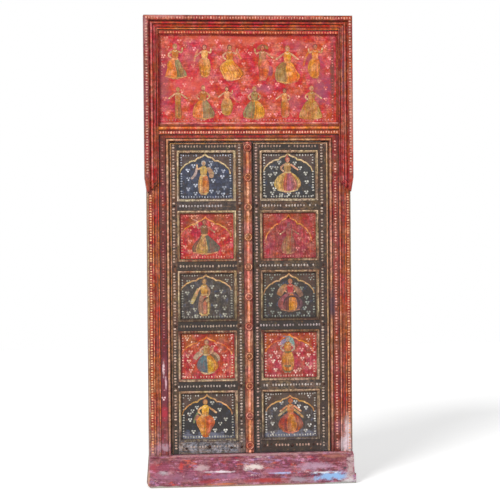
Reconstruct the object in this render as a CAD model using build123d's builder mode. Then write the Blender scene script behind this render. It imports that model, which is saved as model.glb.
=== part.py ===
"""Painted two-leaf wooden door in its own frame.

Millimetres, +Z up. The painted front faces -Y, and the leaves swing back into the room, towards +Y.
The origin is on the ground, under the middle of the frame's width and depth.
"""

import os
from math import cos, radians, tan

from build123d import *

os.makedirs("parts", exist_ok=True)

# Overall size
overall_height = 2130
overall_width = 950
frame_depth = 110

# Frame timbers, widths seen from the front
band_lip = 11
post_width = 53
lining_width = 45
head_rail_height = 57
top_opening_height = 422
transom_height = 48
head_lining_height = 30
sill_height = 144

# Depth steps, each measured back from the one in front of it
sill_reach = 24
post_proud = 6
top_panel_recess = 14
leaf_recess = 12

# Sill
sill_worn_drop = 12
sill_worn_run = 22
sill_foot_chamfer = 6
sill_left_flare = 10
sill_right_flare = 4
sill_horn_length = 7
sill_horn_height = 45
sill_corner_wear = 12

# Post's moulded face, from its outer edge inwards
post_arris = 7
post_quirk = 1.5
post_small_reed = 6
post_flute = 17
post_large_reed = 7
post_reed_root = 3
post_flute_depth = 3

# Surround planted on the posts and the head rail
band_width = 21
band_thickness = 16
band_lip_depth = 40
band_arris = 2
narrow_reed = 7
inner_reed = 6
surround_groove = 6
inner_groove = 3
surround_groove_floor = 4
surround_reed_root = 6
ear_foot_height = 1377
ear_return_angle = 41
ear_taper_height = 66

# Linings round the leaves
lining_bead_width = 13
lining_bead_proud = 5
lining_quirk = 2

# Transom moulding, from its foot upwards
transom_quirk = 2.5
transom_flat_height = 16
transom_flat_thickness = 10
transom_roll_radius = 10
transom_roll_base = 7
transom_cap_thickness = 3

# Top panel
board_thickness = 18
board_groove = 8
groove_play = 0.2
head_fillet_height = 15
head_fillet_thickness = 17
edge_fillet_width = 8
edge_fillet_thickness = 7
batten_width = 50
batten_thickness = 18
batten_spacing = 400

# Frame joints
frame_tenon_length = 35
frame_tenon_thickness = 28
frame_tenon_shoulder = 10
sill_tenon_length = 60
tenon_play = 0.2
peg_radius = 5
peg_length = 62

# Leaves
leaf_side_gap = 2
leaf_head_gap = 3
leaf_floor_gap = 4
seam_gap = 3
seam_offset = 18
leaf_thickness = 38
left_hinge_stile = 34
left_meeting_stile = 76.5
right_hinge_stile = 46
right_meeting_stile = 28.5
top_rail_height = 37
middle_rail_height = 40
bottom_rail_height = 52
panel_count = 5
rail_tenon_length = 20
rail_tenon_thickness = 12
rail_tenon_shoulder = 10

# Leaf panels and the mouldings round them
panel_thickness = 13.6
panel_recess = 14
panel_groove = 8
panel_play = 0.2
moulding_width = 13
moulding_bead = 9
moulding_proud = 3
moulding_toe = 6
edge_bead_radius = 3.5
edge_bead_inset = 3

# Pivots: round stubs left on the ends of each hinge stile
heel_radius = 18
pivot_radius = 10
pivot_clearance = 0.05
pivot_end_gap = 0.3
lower_pivot_depth = 30
upper_pivot_depth = 25
cup_wall = 4
cup_floor = 5

# Strip and rosettes on the left leaf's meeting stile
strip_width = 41
strip_set_back = 3.5
strip_edge_thickness = 7
strip_ridge_width = 13
strip_ridge_height = 4
strip_arris = 1.5
rosette_radius = 19
rosette_height = 9
rosette_edge = 4.5
rosette_rim_inner = 13
rosette_dish_radius = 11
rosette_dish_depth = 5
rosette_bevel = 2.5
rosette_count = 11
rosette_foot_distance = 32
rosette_head_distance = 26

# Places worked out from the sizes above
half_width = overall_width / 2
post_outer = half_width - band_lip
post_inner = post_outer - post_width
opening_half = post_inner - lining_width
frame_top = overall_height - band_lip
head_foot = frame_top - head_rail_height
transom_top = head_foot - top_opening_height
transom_foot = transom_top - transom_height
opening_top = transom_foot - head_lining_height

front = -frame_depth / 2
back = frame_depth / 2
post_face = front + sill_reach
lining_face = post_face + post_proud
top_panel_face = lining_face + top_panel_recess
leaf_face = lining_face + leaf_recess
leaf_back = leaf_face + leaf_thickness

leaf_foot = sill_height + leaf_floor_gap
leaf_top = opening_top - leaf_head_gap
hinge_edge = -opening_half + leaf_side_gap
pivot_x = hinge_edge + heel_radius
pivot_y = leaf_back - heel_radius
pivot_bore = pivot_radius + pivot_clearance

rails_between = (panel_count - 1) * middle_rail_height
leaf_height = leaf_top - leaf_foot
panel_height = (
    leaf_height - top_rail_height - bottom_rail_height - rails_between
) / panel_count
panel_pitch = panel_height + middle_rail_height
panel_feet = [
    leaf_foot + bottom_rail_height + row * panel_pitch for row in range(panel_count)
]
panel_face = leaf_face + panel_recess

left_free_edge = seam_offset - seam_gap / 2
right_free_edge = -seam_offset - seam_gap / 2
strip_x = left_free_edge - strip_set_back - strip_width / 2
strip_left = strip_x - strip_width / 2
strip_right = strip_x + strip_width / 2


def save(piece, name):
    """Labels one finished piece and writes it as its own file."""
    piece.label = name
    export_step(piece, f"parts/{name}.step")


def save_pair(right_piece, name):
    """Writes a piece of the right-hand side and its mirror image on the left."""
    save(right_piece, f"right_{name}")
    save(mirror(right_piece, about=Plane.YZ), f"left_{name}")


# The sill is one heavy beam with a worn front arris. Its left end flares, and its right end keeps a low horn.
post_tenon_x = (post_inner + post_outer) / 2
tenon_y = (lining_face + back) / 2
sill_tenon_width = post_width - 2 * frame_tenon_shoulder
sill_peg_z = sill_height - sill_tenon_length / 2
peg_y = back - peg_length / 2
left_sill_end = -post_outer - sill_left_flare
right_sill_end = post_outer + sill_right_flare
cup_radius = pivot_bore + cup_wall
cup_depth = lower_pivot_depth - leaf_floor_gap + pivot_end_gap + cup_floor

with BuildPart() as sill:
    with BuildSketch(Plane.YZ):
        with BuildLine():
            Polyline(
                (back, 0),
                (back, sill_height),
                (front + sill_worn_run, sill_height),
                (front, sill_height - sill_worn_drop),
                (front, sill_foot_chamfer),
                (front + sill_foot_chamfer, 0),
                close=True,
            )
        make_face()
    extrude(amount=overall_width, both=True)
    with BuildSketch(Plane.XZ):
        with BuildLine():
            Polyline(
                (-post_outer, sill_height),
                (left_sill_end, sill_corner_wear),
                (left_sill_end + sill_corner_wear, 0),
                (right_sill_end + sill_horn_length, 0),
                (right_sill_end + sill_horn_length, sill_horn_height),
                (right_sill_end, sill_horn_height),
                (post_outer, sill_height),
                close=True,
            )
        make_face()
    extrude(amount=frame_depth, both=True, mode=Mode.INTERSECT)
    top_edges = sill.edges().filter_by(Axis.X).group_by(Axis.Z)[-1]
    fillet(top_edges.sort_by(Axis.Y)[0], radius=sill_worn_run / 4)
    with Locations((-pivot_x, pivot_y, sill_height), (pivot_x, pivot_y, sill_height)):
        Hole(radius=cup_radius, depth=cup_depth)
    with Locations(
        (-post_tenon_x, tenon_y, sill_height), (post_tenon_x, tenon_y, sill_height)
    ):
        Box(
            sill_tenon_width + 2 * tenon_play,
            frame_tenon_thickness + 2 * tenon_play,
            2 * sill_tenon_length,
            mode=Mode.SUBTRACT,
        )
    with Locations((-post_tenon_x, peg_y, sill_peg_z), (post_tenon_x, peg_y, sill_peg_z)):
        Cylinder(peg_radius, peg_length, rotation=(90, 0, 0), mode=Mode.SUBTRACT)
save(sill.part, "sill")

# A post is moulded down its front: arris, flat band for the painted dots, small reed, flute, large reed.
reed_root = post_face + post_reed_root
flute_floor = reed_root + post_flute_depth
dots_outer = post_outer - post_arris
flute_inner = post_inner + post_large_reed
flute_outer = flute_inner + post_flute
small_reed_outer = flute_outer + post_small_reed
dots_inner = small_reed_outer + post_quirk
head_tenon_height = head_rail_height - 2 * frame_tenon_shoulder
transom_tenon_height = transom_height - 2 * frame_tenon_shoulder
head_tenon_z = (head_foot + frame_top) / 2
transom_tenon_z = (transom_foot + transom_top) / 2
side_peg_x = post_inner + frame_tenon_length / 2
board_groove_width = board_thickness + 2 * groove_play
board_y = top_panel_face + board_thickness / 2
peg_places = [
    (side * x, peg_y, z)
    for side in (-1, 1)
    for x, z in (
        (side_peg_x, head_tenon_z),
        (side_peg_x, transom_tenon_z),
        (post_tenon_x, sill_peg_z),
    )
]

with BuildPart() as right_post:
    with BuildSketch(Plane.XY.offset(sill_height)):
        with BuildLine():
            Polyline(
                (post_inner, reed_root),
                (post_inner, back),
                (post_outer, back),
                (post_outer, post_face + post_arris),
                (dots_outer, post_face),
                (dots_inner, post_face),
                (dots_inner, reed_root),
                (small_reed_outer, reed_root),
            )
            ThreePointArc(
                (small_reed_outer, reed_root),
                (small_reed_outer - post_small_reed / 2, post_face),
                (flute_outer, reed_root),
            )
            ThreePointArc(
                (flute_outer, reed_root),
                (flute_outer - post_flute / 2, flute_floor),
                (flute_inner, reed_root),
            )
            ThreePointArc(
                (flute_inner, reed_root),
                ((flute_inner + post_inner) / 2, post_face),
                (post_inner, reed_root),
            )
        make_face()
    extrude(amount=frame_top - sill_height)
    with Locations((post_tenon_x, tenon_y, sill_height)):
        Box(
            sill_tenon_width,
            frame_tenon_thickness,
            sill_tenon_length - tenon_play,
            align=(Align.CENTER, Align.CENTER, Align.MAX),
        )
    with Locations((post_inner, tenon_y, head_tenon_z)):
        Box(
            2 * (frame_tenon_length + tenon_play),
            frame_tenon_thickness + 2 * tenon_play,
            head_tenon_height + 2 * tenon_play,
            mode=Mode.SUBTRACT,
        )
    with Locations((post_inner, tenon_y, transom_tenon_z)):
        Box(
            2 * (frame_tenon_length + tenon_play),
            frame_tenon_thickness + 2 * tenon_play,
            transom_tenon_height + 2 * tenon_play,
            mode=Mode.SUBTRACT,
        )
    with Locations((post_inner, board_y, (transom_top + head_foot) / 2)):
        Box(
            2 * board_groove,
            board_groove_width,
            top_opening_height + 2 * board_groove,
            mode=Mode.SUBTRACT,
        )
    with Locations(*peg_places[3:]):
        Cylinder(peg_radius, peg_length, rotation=(90, 0, 0), mode=Mode.SUBTRACT)
save_pair(right_post.part, "post")


def cross_rail(foot, height, face, tenon_height, groove_side):
    """A rail tenoned between the posts, ploughed along one edge for the top panel's boards."""
    middle = foot + height / 2
    with BuildPart() as rail:
        with Locations((0, (face + back) / 2, middle)):
            Box(2 * post_inner, back - face, height)
        with Locations((0, tenon_y, middle)):
            Box(2 * (post_inner + frame_tenon_length), frame_tenon_thickness, tenon_height)
        with Locations((0, board_y, middle + groove_side * height / 2)):
            Box(2 * post_inner, board_groove_width, 2 * board_groove, mode=Mode.SUBTRACT)
        with Locations((-side_peg_x, peg_y, middle), (side_peg_x, peg_y, middle)):
            Cylinder(peg_radius, peg_length, rotation=(90, 0, 0), mode=Mode.SUBTRACT)
    return rail.part


save(
    cross_rail(head_foot, head_rail_height, reed_root, head_tenon_height, -1), "head_rail"
)
save(
    cross_rail(transom_foot, transom_height, lining_face, transom_tenon_height, 1),
    "transom_rail",
)

# Six pegs, driven from the back, hold the frame's tenons.
with BuildPart() as frame_pegs:
    with Locations(*peg_places):
        Cylinder(peg_radius, peg_length, rotation=(90, 0, 0))
save(frame_pegs.part, "frame_pegs")

# The surround: a flat outer band that laps round the timber, and a reeded moulding inside it.
surround_width = band_lip + post_width
first_reed = band_width + surround_groove
third_reed = surround_width - inner_reed
wide_reed = third_reed - inner_groove - narrow_reed - surround_groove - first_reed
flute_start = first_reed + wide_reed
second_reed = flute_start + surround_groove
wide_crest = surround_reed_root + wide_reed / 2
narrow_crest = surround_reed_root + narrow_reed / 2
inner_crest = surround_reed_root + inner_reed / 2


def band_section(plane):
    """Section of the outer band: across the surround from its outer edge, and out from the post's face."""
    with BuildSketch(plane) as section:
        with BuildLine():
            Polyline(
                (0, -band_lip_depth),
                (0, band_thickness - band_arris),
                (band_arris, band_thickness),
                (band_width, band_thickness),
                (band_width, 0),
                (band_lip, 0),
                (band_lip, -band_lip_depth),
                close=True,
            )
        make_face()
    return section.sketch


def reeded_section(plane):
    """Section of the reeded moulding: groove, wide reed, flute, narrow reed, groove, inner reed."""
    floor = surround_groove_floor
    root = surround_reed_root
    with BuildSketch(plane) as section:
        with BuildLine():
            Polyline(
                (surround_width, root),
                (surround_width, 0),
                (band_width, 0),
                (band_width, floor),
                (first_reed, floor),
                (first_reed, root),
            )
            ThreePointArc(
                (first_reed, root),
                (first_reed + wide_reed / 2, wide_crest),
                (flute_start, root),
            )
            ThreePointArc(
                (flute_start, root),
                (flute_start + surround_groove / 2, floor),
                (second_reed, root),
            )
            ThreePointArc(
                (second_reed, root),
                (second_reed + narrow_reed / 2, narrow_crest),
                (second_reed + narrow_reed, root),
            )
            Polyline(
                (second_reed + narrow_reed, root),
                (second_reed + narrow_reed, floor),
                (third_reed, floor),
                (third_reed, root),
            )
            ThreePointArc(
                (third_reed, root),
                (third_reed + inner_reed / 2, inner_crest),
                (surround_width, root),
            )
        make_face()
    return section.sketch


ear_slope = tan(radians(ear_return_angle))
side_foot = ear_foot_height - surround_width * ear_slope
lip_foot = ear_foot_height - post_width * ear_slope
side_plane = Plane(
    origin=(half_width, post_face, side_foot), x_dir=(-1, 0, 0), z_dir=(0, 0, 1)
)
head_plane = Plane(
    origin=(half_width, post_face, overall_height), x_dir=(0, 0, -1), z_dir=(-1, 0, 0)
)
right_mitre = Plane(origin=(half_width, 0, overall_height), z_dir=(1, 0, -1))
left_mitre = Plane(origin=(-half_width, 0, overall_height), z_dir=(-1, 0, -1))
ear_return = Plane(origin=(post_inner, 0, ear_foot_height), z_dir=(ear_slope, 0, 1))
ear_taper = Plane(
    origin=(post_outer, 0, lip_foot), z_dir=(-ear_taper_height, 0, band_lip)
)


def side_surround(section):
    """One upright piece of the surround: mitred above, cut to the ear's slanting return below."""
    with BuildPart() as piece:
        extrude(section(side_plane), amount=overall_height - side_foot)
        split(bisect_by=right_mitre, keep=Keep.TOP)
        split(bisect_by=ear_return, keep=Keep.TOP)
        split(bisect_by=ear_taper, keep=Keep.TOP)
    return piece.part


def head_surround(section):
    """The piece of the surround across the head, mitred at both ends."""
    with BuildPart() as piece:
        extrude(section(head_plane), amount=overall_width)
        split(bisect_by=right_mitre, keep=Keep.BOTTOM)
        split(bisect_by=left_mitre, keep=Keep.BOTTOM)
    return piece.part


save_pair(side_surround(band_section), "outer_band")
save_pair(side_surround(reeded_section), "surround_moulding")
save(head_surround(band_section), "head_outer_band")
save(head_surround(reeded_section), "head_surround_moulding")

# Linings frame the leaves: a painted flat with a bead along the inner edge, mitred at the head.
head_lining_half = opening_half + head_lining_height


def lining_section(plane, width):
    """Section of a lining: across it from the bead's edge, and out from its face."""
    bead_end = lining_bead_width
    with BuildSketch(plane) as section:
        with BuildLine():
            ThreePointArc((0, 0), (bead_end / 2, lining_bead_proud), (bead_end, 0))
            Polyline(
                (bead_end, 0),
                (bead_end, -lining_quirk),
                (bead_end + lining_quirk, -lining_quirk),
                (bead_end + lining_quirk, 0),
                (width, 0),
                (width, lining_face - back),
                (0, lining_face - back),
                (0, 0),
            )
        make_face()
    return section.sketch


with BuildPart() as left_lining:
    extrude(
        lining_section(
            Plane(
                origin=(-opening_half, lining_face, sill_height),
                x_dir=(-1, 0, 0),
                z_dir=(0, 0, 1),
            ),
            lining_width,
        ),
        amount=transom_foot - sill_height,
    )
    with BuildSketch(Plane.XZ):
        with BuildLine():
            Polyline(
                (-opening_half, opening_top),
                (-head_lining_half, transom_foot),
                (-opening_half, transom_foot),
                close=True,
            )
        make_face()
    extrude(amount=frame_depth, both=True, mode=Mode.SUBTRACT)
save(left_lining.part, "left_lining")
save(mirror(left_lining.part, about=Plane.YZ), "right_lining")

with BuildPart() as head_lining:
    extrude(
        lining_section(
            Plane(
                origin=(-head_lining_half, lining_face, opening_top),
                x_dir=(0, 0, 1),
                z_dir=(1, 0, 0),
            ),
            head_lining_height,
        ),
        amount=2 * head_lining_half,
    )
    split(
        bisect_by=Plane(origin=(opening_half, 0, opening_top), z_dir=(-1, 0, 1)),
        keep=Keep.TOP,
    )
    split(
        bisect_by=Plane(origin=(-opening_half, 0, opening_top), z_dir=(1, 0, 1)),
        keep=Keep.TOP,
    )
    with Locations((-pivot_x, pivot_y, opening_top), (pivot_x, pivot_y, opening_top)):
        Cylinder(pivot_bore, 2 * head_lining_height, mode=Mode.SUBTRACT)
save(head_lining.part, "head_lining")

# Moulding along the transom: a dotted flat below, a big roll above it, and a thin cap.
flat_foot = transom_foot + transom_quirk
flat_top = flat_foot + transom_flat_height
roll_top = flat_top + 2 * transom_roll_radius
with BuildPart() as transom_moulding:
    with BuildSketch(Plane(origin=(0, lining_face, 0), x_dir=(0, -1, 0), z_dir=(-1, 0, 0))):
        with BuildLine():
            Polyline(
                (transom_roll_base, roll_top),
                (transom_cap_thickness, roll_top),
                (transom_cap_thickness, transom_top),
                (0, transom_top),
                (0, flat_foot),
                (transom_flat_thickness, flat_foot),
                (transom_flat_thickness, flat_top),
                (transom_roll_base, flat_top),
            )
            ThreePointArc(
                (transom_roll_base, flat_top),
                (transom_roll_base + transom_roll_radius, flat_top + transom_roll_radius),
                (transom_roll_base, roll_top),
            )
        make_face()
    extrude(amount=post_inner, both=True)
save(transom_moulding.part, "transom_moulding")

# The top panel is two boards held in grooves, with fillets planted round it and battens behind it.
board_middle = (transom_top + head_foot) / 2
board_foot = transom_top - board_groove + groove_play
board_half_width = post_inner + board_groove - groove_play


def top_board(foot, head):
    """One board of the top panel."""
    with BuildPart() as board:
        with Locations((0, board_y, (foot + head) / 2)):
            Box(2 * board_half_width, board_thickness, head - foot)
    return board.part


save(top_board(board_foot, board_middle), "lower_top_board")
save(top_board(board_middle, 2 * board_middle - board_foot), "upper_top_board")

fillet_foot = transom_top + edge_fillet_width
fillet_head = head_foot - head_fillet_height
with BuildPart() as head_fillet:
    with Locations(
        (
            0,
            top_panel_face - head_fillet_thickness / 2,
            head_foot - head_fillet_height / 2,
        )
    ):
        Box(2 * post_inner, head_fillet_thickness, head_fillet_height)
    chamfer(
        head_fillet.edges().filter_by(Axis.X).group_by(Axis.Y)[0].sort_by(Axis.Z)[0],
        length=edge_fillet_width / 4,
    )
save(head_fillet.part, "head_fillet")

edge_fillet_y = top_panel_face - edge_fillet_thickness / 2
with BuildPart() as foot_fillet:
    with Locations((0, edge_fillet_y, transom_top + edge_fillet_width / 2)):
        Box(2 * post_inner, edge_fillet_thickness, edge_fillet_width)
    fillet(
        foot_fillet.edges().filter_by(Axis.X).group_by(Axis.Y)[0],
        radius=edge_fillet_width / 4,
    )
save(foot_fillet.part, "foot_fillet")

with BuildPart() as side_fillets:
    with Locations(
        *[
            (
                side * (post_inner - edge_fillet_width / 2),
                edge_fillet_y,
                (fillet_foot + fillet_head) / 2,
            )
            for side in (-1, 1)
        ]
    ):
        Box(edge_fillet_width, edge_fillet_thickness, fillet_head - fillet_foot)
    chamfer(
        side_fillets.edges().filter_by(Axis.Z).group_by(Axis.Y)[0],
        length=edge_fillet_width / 8,
    )
save(side_fillets.part, "side_fillets")

with BuildPart() as top_panel_battens:
    with Locations((0, top_panel_face + board_thickness, board_middle)):
        with GridLocations(batten_spacing, 1, 2, 1):
            Box(
                batten_width,
                batten_thickness,
                top_opening_height,
                align=(Align.CENTER, Align.MIN, Align.CENTER),
            )
    chamfer(
        top_panel_battens.edges().filter_by(Axis.Z).group_by(Axis.Y)[-1],
        length=batten_thickness / 5,
    )
save(top_panel_battens.part, "top_panel_battens")

# Iron cups let into the sill carry the leaves' lower pivots.
with BuildPart() as pivot_cups:
    with Locations((-pivot_x, pivot_y, sill_height), (pivot_x, pivot_y, sill_height)):
        Cylinder(cup_radius, cup_depth, align=(Align.CENTER, Align.CENTER, Align.MAX))
        Hole(radius=pivot_bore, depth=cup_depth - cup_floor)
save(pivot_cups.part, "pivot_cups")


# Leaf timbers. Each leaf is drawn with its hinge edge on the left, and the right one is mirrored at the end.
rail_heights = (
    [bottom_rail_height] + [middle_rail_height] * (panel_count - 1) + [top_rail_height]
)
rail_feet = [leaf_foot] + [foot + panel_height for foot in panel_feet]
rail_middles = [foot + height / 2 for foot, height in zip(rail_feet, rail_heights)]
rail_names = ["bottom", "lower", "lower_middle", "upper_middle", "upper", "top"]
panel_names = ["bottom", "lower", "middle", "upper", "top"]
groove_y = panel_face + panel_thickness / 2
groove_width = panel_thickness + 2 * panel_play
panel_middles = [foot + panel_height / 2 for foot in panel_feet]


def cut_joints(edge):
    """Cuts a stile's mortises and panel grooves along the edge that faces the panels."""
    for middle, height in zip(rail_middles, rail_heights):
        with Locations((edge, groove_y, middle)):
            Box(
                2 * (rail_tenon_length + tenon_play),
                rail_tenon_thickness + 2 * tenon_play,
                height - 2 * rail_tenon_shoulder + 2 * tenon_play,
                mode=Mode.SUBTRACT,
            )
    with Locations(*[(edge, groove_y, middle) for middle in panel_middles]):
        Box(
            2 * panel_groove,
            groove_width,
            panel_height + 2 * panel_groove,
            mode=Mode.SUBTRACT,
        )


def hinge_stile(edge):
    """A hinge stile with a rounded heel, and a pivot stub at each end."""
    half_heel = heel_radius * cos(radians(45))
    with BuildPart() as stile:
        with BuildSketch(Plane.XY.offset(leaf_foot)):
            with BuildLine():
                Polyline(
                    (hinge_edge, pivot_y),
                    (hinge_edge, leaf_face),
                    (edge, leaf_face),
                    (edge, leaf_back),
                    (pivot_x, leaf_back),
                )
                ThreePointArc(
                    (pivot_x, leaf_back),
                    (pivot_x - half_heel, pivot_y + half_heel),
                    (hinge_edge, pivot_y),
                )
            make_face()
        extrude(amount=leaf_height)
        cut_joints(edge)
        with Locations((pivot_x, pivot_y, leaf_foot)):
            Cylinder(
                pivot_radius,
                lower_pivot_depth,
                align=(Align.CENTER, Align.CENTER, Align.MAX),
            )
        with Locations((pivot_x, pivot_y, leaf_top)):
            Cylinder(
                pivot_radius,
                upper_pivot_depth,
                align=(Align.CENTER, Align.CENTER, Align.MIN),
            )
    return stile.part


def meeting_stile(edge, free_edge):
    """The stile along the seam between the leaves."""
    with BuildPart() as stile:
        with Locations(((edge + free_edge) / 2, leaf_face, leaf_foot)):
            Box(
                free_edge - edge,
                leaf_thickness,
                leaf_height,
                align=(Align.CENTER, Align.MIN, Align.MIN),
            )
        cut_joints(edge)
    return stile.part


def leaf_rail(row, left_edge, right_edge):
    """A rail between the stiles: tenoned at both ends, ploughed where a panel meets it."""
    middle, height = rail_middles[row], rail_heights[row]
    across = (left_edge + right_edge) / 2
    width = right_edge - left_edge
    groove_edges = []
    if row > 0:
        groove_edges.append(middle - height / 2)
    if row < panel_count:
        groove_edges.append(middle + height / 2)
    with BuildPart() as rail:
        with Locations((across, leaf_face + leaf_thickness / 2, middle)):
            Box(width, leaf_thickness, height)
        with Locations((across, groove_y, middle)):
            Box(
                width + 2 * rail_tenon_length,
                rail_tenon_thickness,
                height - 2 * rail_tenon_shoulder,
            )
        with Locations(*[(across, groove_y, z) for z in groove_edges]):
            Box(width, groove_width, 2 * panel_groove, mode=Mode.SUBTRACT)
    return rail.part


def leaf_panel(row, left_edge, right_edge):
    """A panel, loose in the grooves round it."""
    reach = panel_groove - panel_play
    with BuildPart() as panel:
        with Locations(((left_edge + right_edge) / 2, groove_y, panel_middles[row])):
            Box(
                right_edge - left_edge + 2 * reach,
                panel_thickness,
                panel_height + 2 * reach,
            )
    return panel.part


def moulding_stick(length):
    """One mitred stick of panel moulding along the foot of a panel, centred over the origin."""
    top = panel_recess + moulding_proud
    with BuildPart() as stick:
        with BuildSketch(Plane(origin=(length / 2, 0, 0), x_dir=(0, -1, 0), z_dir=(-1, 0, 0))):
            with BuildLine():
                Polyline(
                    (panel_recess, 0),
                    (0, 0),
                    (0, moulding_width),
                    (moulding_toe, moulding_width),
                )
                ThreePointArc(
                    (moulding_toe, moulding_width),
                    (panel_recess - 2, moulding_width - 1),
                    (panel_recess, moulding_bead),
                )
                ThreePointArc(
                    (panel_recess, moulding_bead),
                    (top, moulding_bead / 2),
                    (panel_recess, 0),
                )
            make_face()
        extrude(amount=length)
        split(bisect_by=Plane(origin=(-length / 2, 0, 0), z_dir=(1, 0, -1)), keep=Keep.TOP)
        split(bisect_by=Plane(origin=(length / 2, 0, 0), z_dir=(-1, 0, -1)), keep=Keep.TOP)
    return stick.part


def panel_mouldings(left_edge, right_edge):
    """The four mitred sticks round each panel of a leaf."""
    across = (left_edge + right_edge) / 2
    width = right_edge - left_edge
    level = moulding_stick(width)
    upright = moulding_stick(panel_height)
    with BuildPart() as sticks:
        for middle in panel_middles:
            with Locations((across, panel_face, middle - panel_height / 2)):
                add(level)
            with Locations(
                Location((across, panel_face, middle + panel_height / 2), (0, 180, 0))
            ):
                add(level)
            with Locations(Location((left_edge, panel_face, middle), (0, 90, 0))):
                add(upright)
            with Locations(Location((right_edge, panel_face, middle), (0, -90, 0))):
                add(upright)
    return sticks.part


def edge_beads(level_end):
    """Half-round beads planted down the hinge edge and along the top of a leaf, mitred together."""
    radius = edge_bead_radius
    outer = hinge_edge + edge_bead_inset
    top = leaf_top - edge_bead_inset
    corner = Plane(origin=(outer, 0, top), z_dir=(1, 0, 1))
    with BuildPart() as upright:
        with BuildSketch(Plane.XY.offset(leaf_foot)):
            with BuildLine():
                ThreePointArc(
                    (outer, leaf_face),
                    (outer + radius, leaf_face - radius),
                    (outer + 2 * radius, leaf_face),
                )
                Line((outer + 2 * radius, leaf_face), (outer, leaf_face))
            make_face()
        extrude(amount=leaf_height)
        split(bisect_by=corner, keep=Keep.BOTTOM)
    with BuildPart() as level:
        with BuildSketch(Plane.YZ.offset(outer)):
            with BuildLine():
                ThreePointArc(
                    (leaf_face, top),
                    (leaf_face - radius, top - radius),
                    (leaf_face, top - 2 * radius),
                )
                Line((leaf_face, top - 2 * radius), (leaf_face, top))
            make_face()
        extrude(amount=level_end - outer)
        split(bisect_by=corner, keep=Keep.TOP)
    return Compound(children=[upright.part, level.part])


def save_leaf(side, hinge_stile_width, meeting_stile_width, free_edge):
    """Makes and writes the pieces of one leaf."""
    flip = side == "right"
    left_edge = hinge_edge + hinge_stile_width
    right_edge = free_edge - meeting_stile_width
    pieces = {
        "hinge_stile": hinge_stile(left_edge),
        "meeting_stile": meeting_stile(right_edge, free_edge),
        "panel_mouldings": panel_mouldings(left_edge, right_edge),
        "edge_beads": edge_beads(free_edge if flip else strip_left),
    }
    for row, name in enumerate(rail_names):
        pieces[f"{name}_rail"] = leaf_rail(row, left_edge, right_edge)
    for row, name in enumerate(panel_names):
        pieces[f"{name}_panel"] = leaf_panel(row, left_edge, right_edge)
    for name, piece in pieces.items():
        save(mirror(piece, about=Plane.YZ) if flip else piece, f"{side}_{name}")


save_leaf("left", left_hinge_stile, left_meeting_stile, left_free_edge)
save_leaf("right", right_hinge_stile, right_meeting_stile, right_free_edge)

# A ridged strip is planted down the left leaf's meeting stile, with turned rosettes along its ridge.
strip_face = leaf_face - strip_edge_thickness
ridge_face = strip_face - strip_ridge_height
ridge_left = strip_x - strip_ridge_width / 2
ridge_right = strip_x + strip_ridge_width / 2
with BuildPart() as centre_strip:
    with BuildSketch(Plane.XY.offset(leaf_foot)):
        with BuildLine():
            Polyline(
                (strip_left, leaf_face),
                (strip_left, strip_face + strip_arris),
                (strip_left + strip_arris, strip_face),
                (ridge_left, strip_face),
                (ridge_left + strip_arris, ridge_face),
                (ridge_right - strip_arris, ridge_face),
                (ridge_right, strip_face),
                (strip_right - strip_arris, strip_face),
                (strip_right, strip_face + strip_arris),
                (strip_right, leaf_face),
                close=True,
            )
        make_face()
    extrude(amount=leaf_height)
save(centre_strip.part, "centre_strip")

rosette_foot = leaf_foot + rosette_foot_distance
rosette_run = leaf_top - rosette_head_distance - rosette_foot
rosette_pitch = rosette_run / (rosette_count - 1)
dish_floor = rosette_height - rosette_dish_depth
with BuildPart() as rosette:
    with BuildSketch(Plane.XY):
        with BuildLine():
            Polyline(
                (0, 0),
                (rosette_radius, 0),
                (rosette_radius, rosette_edge),
                (rosette_radius - rosette_bevel, rosette_height),
                (rosette_rim_inner, rosette_height),
                (rosette_dish_radius, dish_floor),
                (0, dish_floor),
                close=True,
            )
        make_face()
    revolve(axis=Axis.Y)
with BuildPart() as strip_rosettes:
    with Locations(
        *[
            Location(
                (strip_x, ridge_face, rosette_foot + row * rosette_pitch),
                (0, 0, 180),
            )
            for row in range(rosette_count)
        ]
    ):
        add(rosette.part)
save(strip_rosettes.part, "strip_rosettes")
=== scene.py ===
import math
import random

import bpy
from mathutils import Matrix, Vector
from mathutils.geometry import tessellate_polygon


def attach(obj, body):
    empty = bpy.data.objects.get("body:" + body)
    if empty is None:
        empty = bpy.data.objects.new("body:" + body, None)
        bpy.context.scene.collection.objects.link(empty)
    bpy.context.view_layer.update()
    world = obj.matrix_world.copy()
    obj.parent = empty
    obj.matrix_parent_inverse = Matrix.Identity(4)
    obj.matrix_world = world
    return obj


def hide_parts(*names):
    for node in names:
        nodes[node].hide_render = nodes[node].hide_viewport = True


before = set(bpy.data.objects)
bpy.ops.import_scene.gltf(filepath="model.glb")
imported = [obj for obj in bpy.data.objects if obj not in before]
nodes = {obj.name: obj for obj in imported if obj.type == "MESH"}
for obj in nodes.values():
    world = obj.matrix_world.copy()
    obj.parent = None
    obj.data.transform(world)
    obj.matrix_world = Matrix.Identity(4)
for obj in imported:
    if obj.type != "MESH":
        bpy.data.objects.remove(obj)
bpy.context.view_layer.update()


# The sill: one thick beam that the posts stand in. Its rose paint is rubbed through where people step,
# with smears of grey, cream and blue and a line of bare wood along the bottom, and its top is painted lighter
# as a highlight.
def shade(red, green, blue):
    """A shade off a colour card, 0 to 255, as the linear colour that a shader takes."""
    parts = [part / 255 for part in (red, green, blue)]
    return [p / 12.92 if p <= 0.04045 else ((p + 0.055) / 1.055) ** 2.4 for p in parts] + [1.0]


def fit(tree, kind, settings, sockets):
    """Adds a node, with its settings, and links or fills the sockets that are given."""
    node = tree.nodes.new("ShaderNode" + kind)
    for name, value in settings.items():
        setattr(node, name, value)
    for key, value in sockets.items():
        if isinstance(value, bpy.types.NodeSocket):
            tree.links.new(value, node.inputs[key])
        else:
            node.inputs[key].default_value = value
    return node


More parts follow.
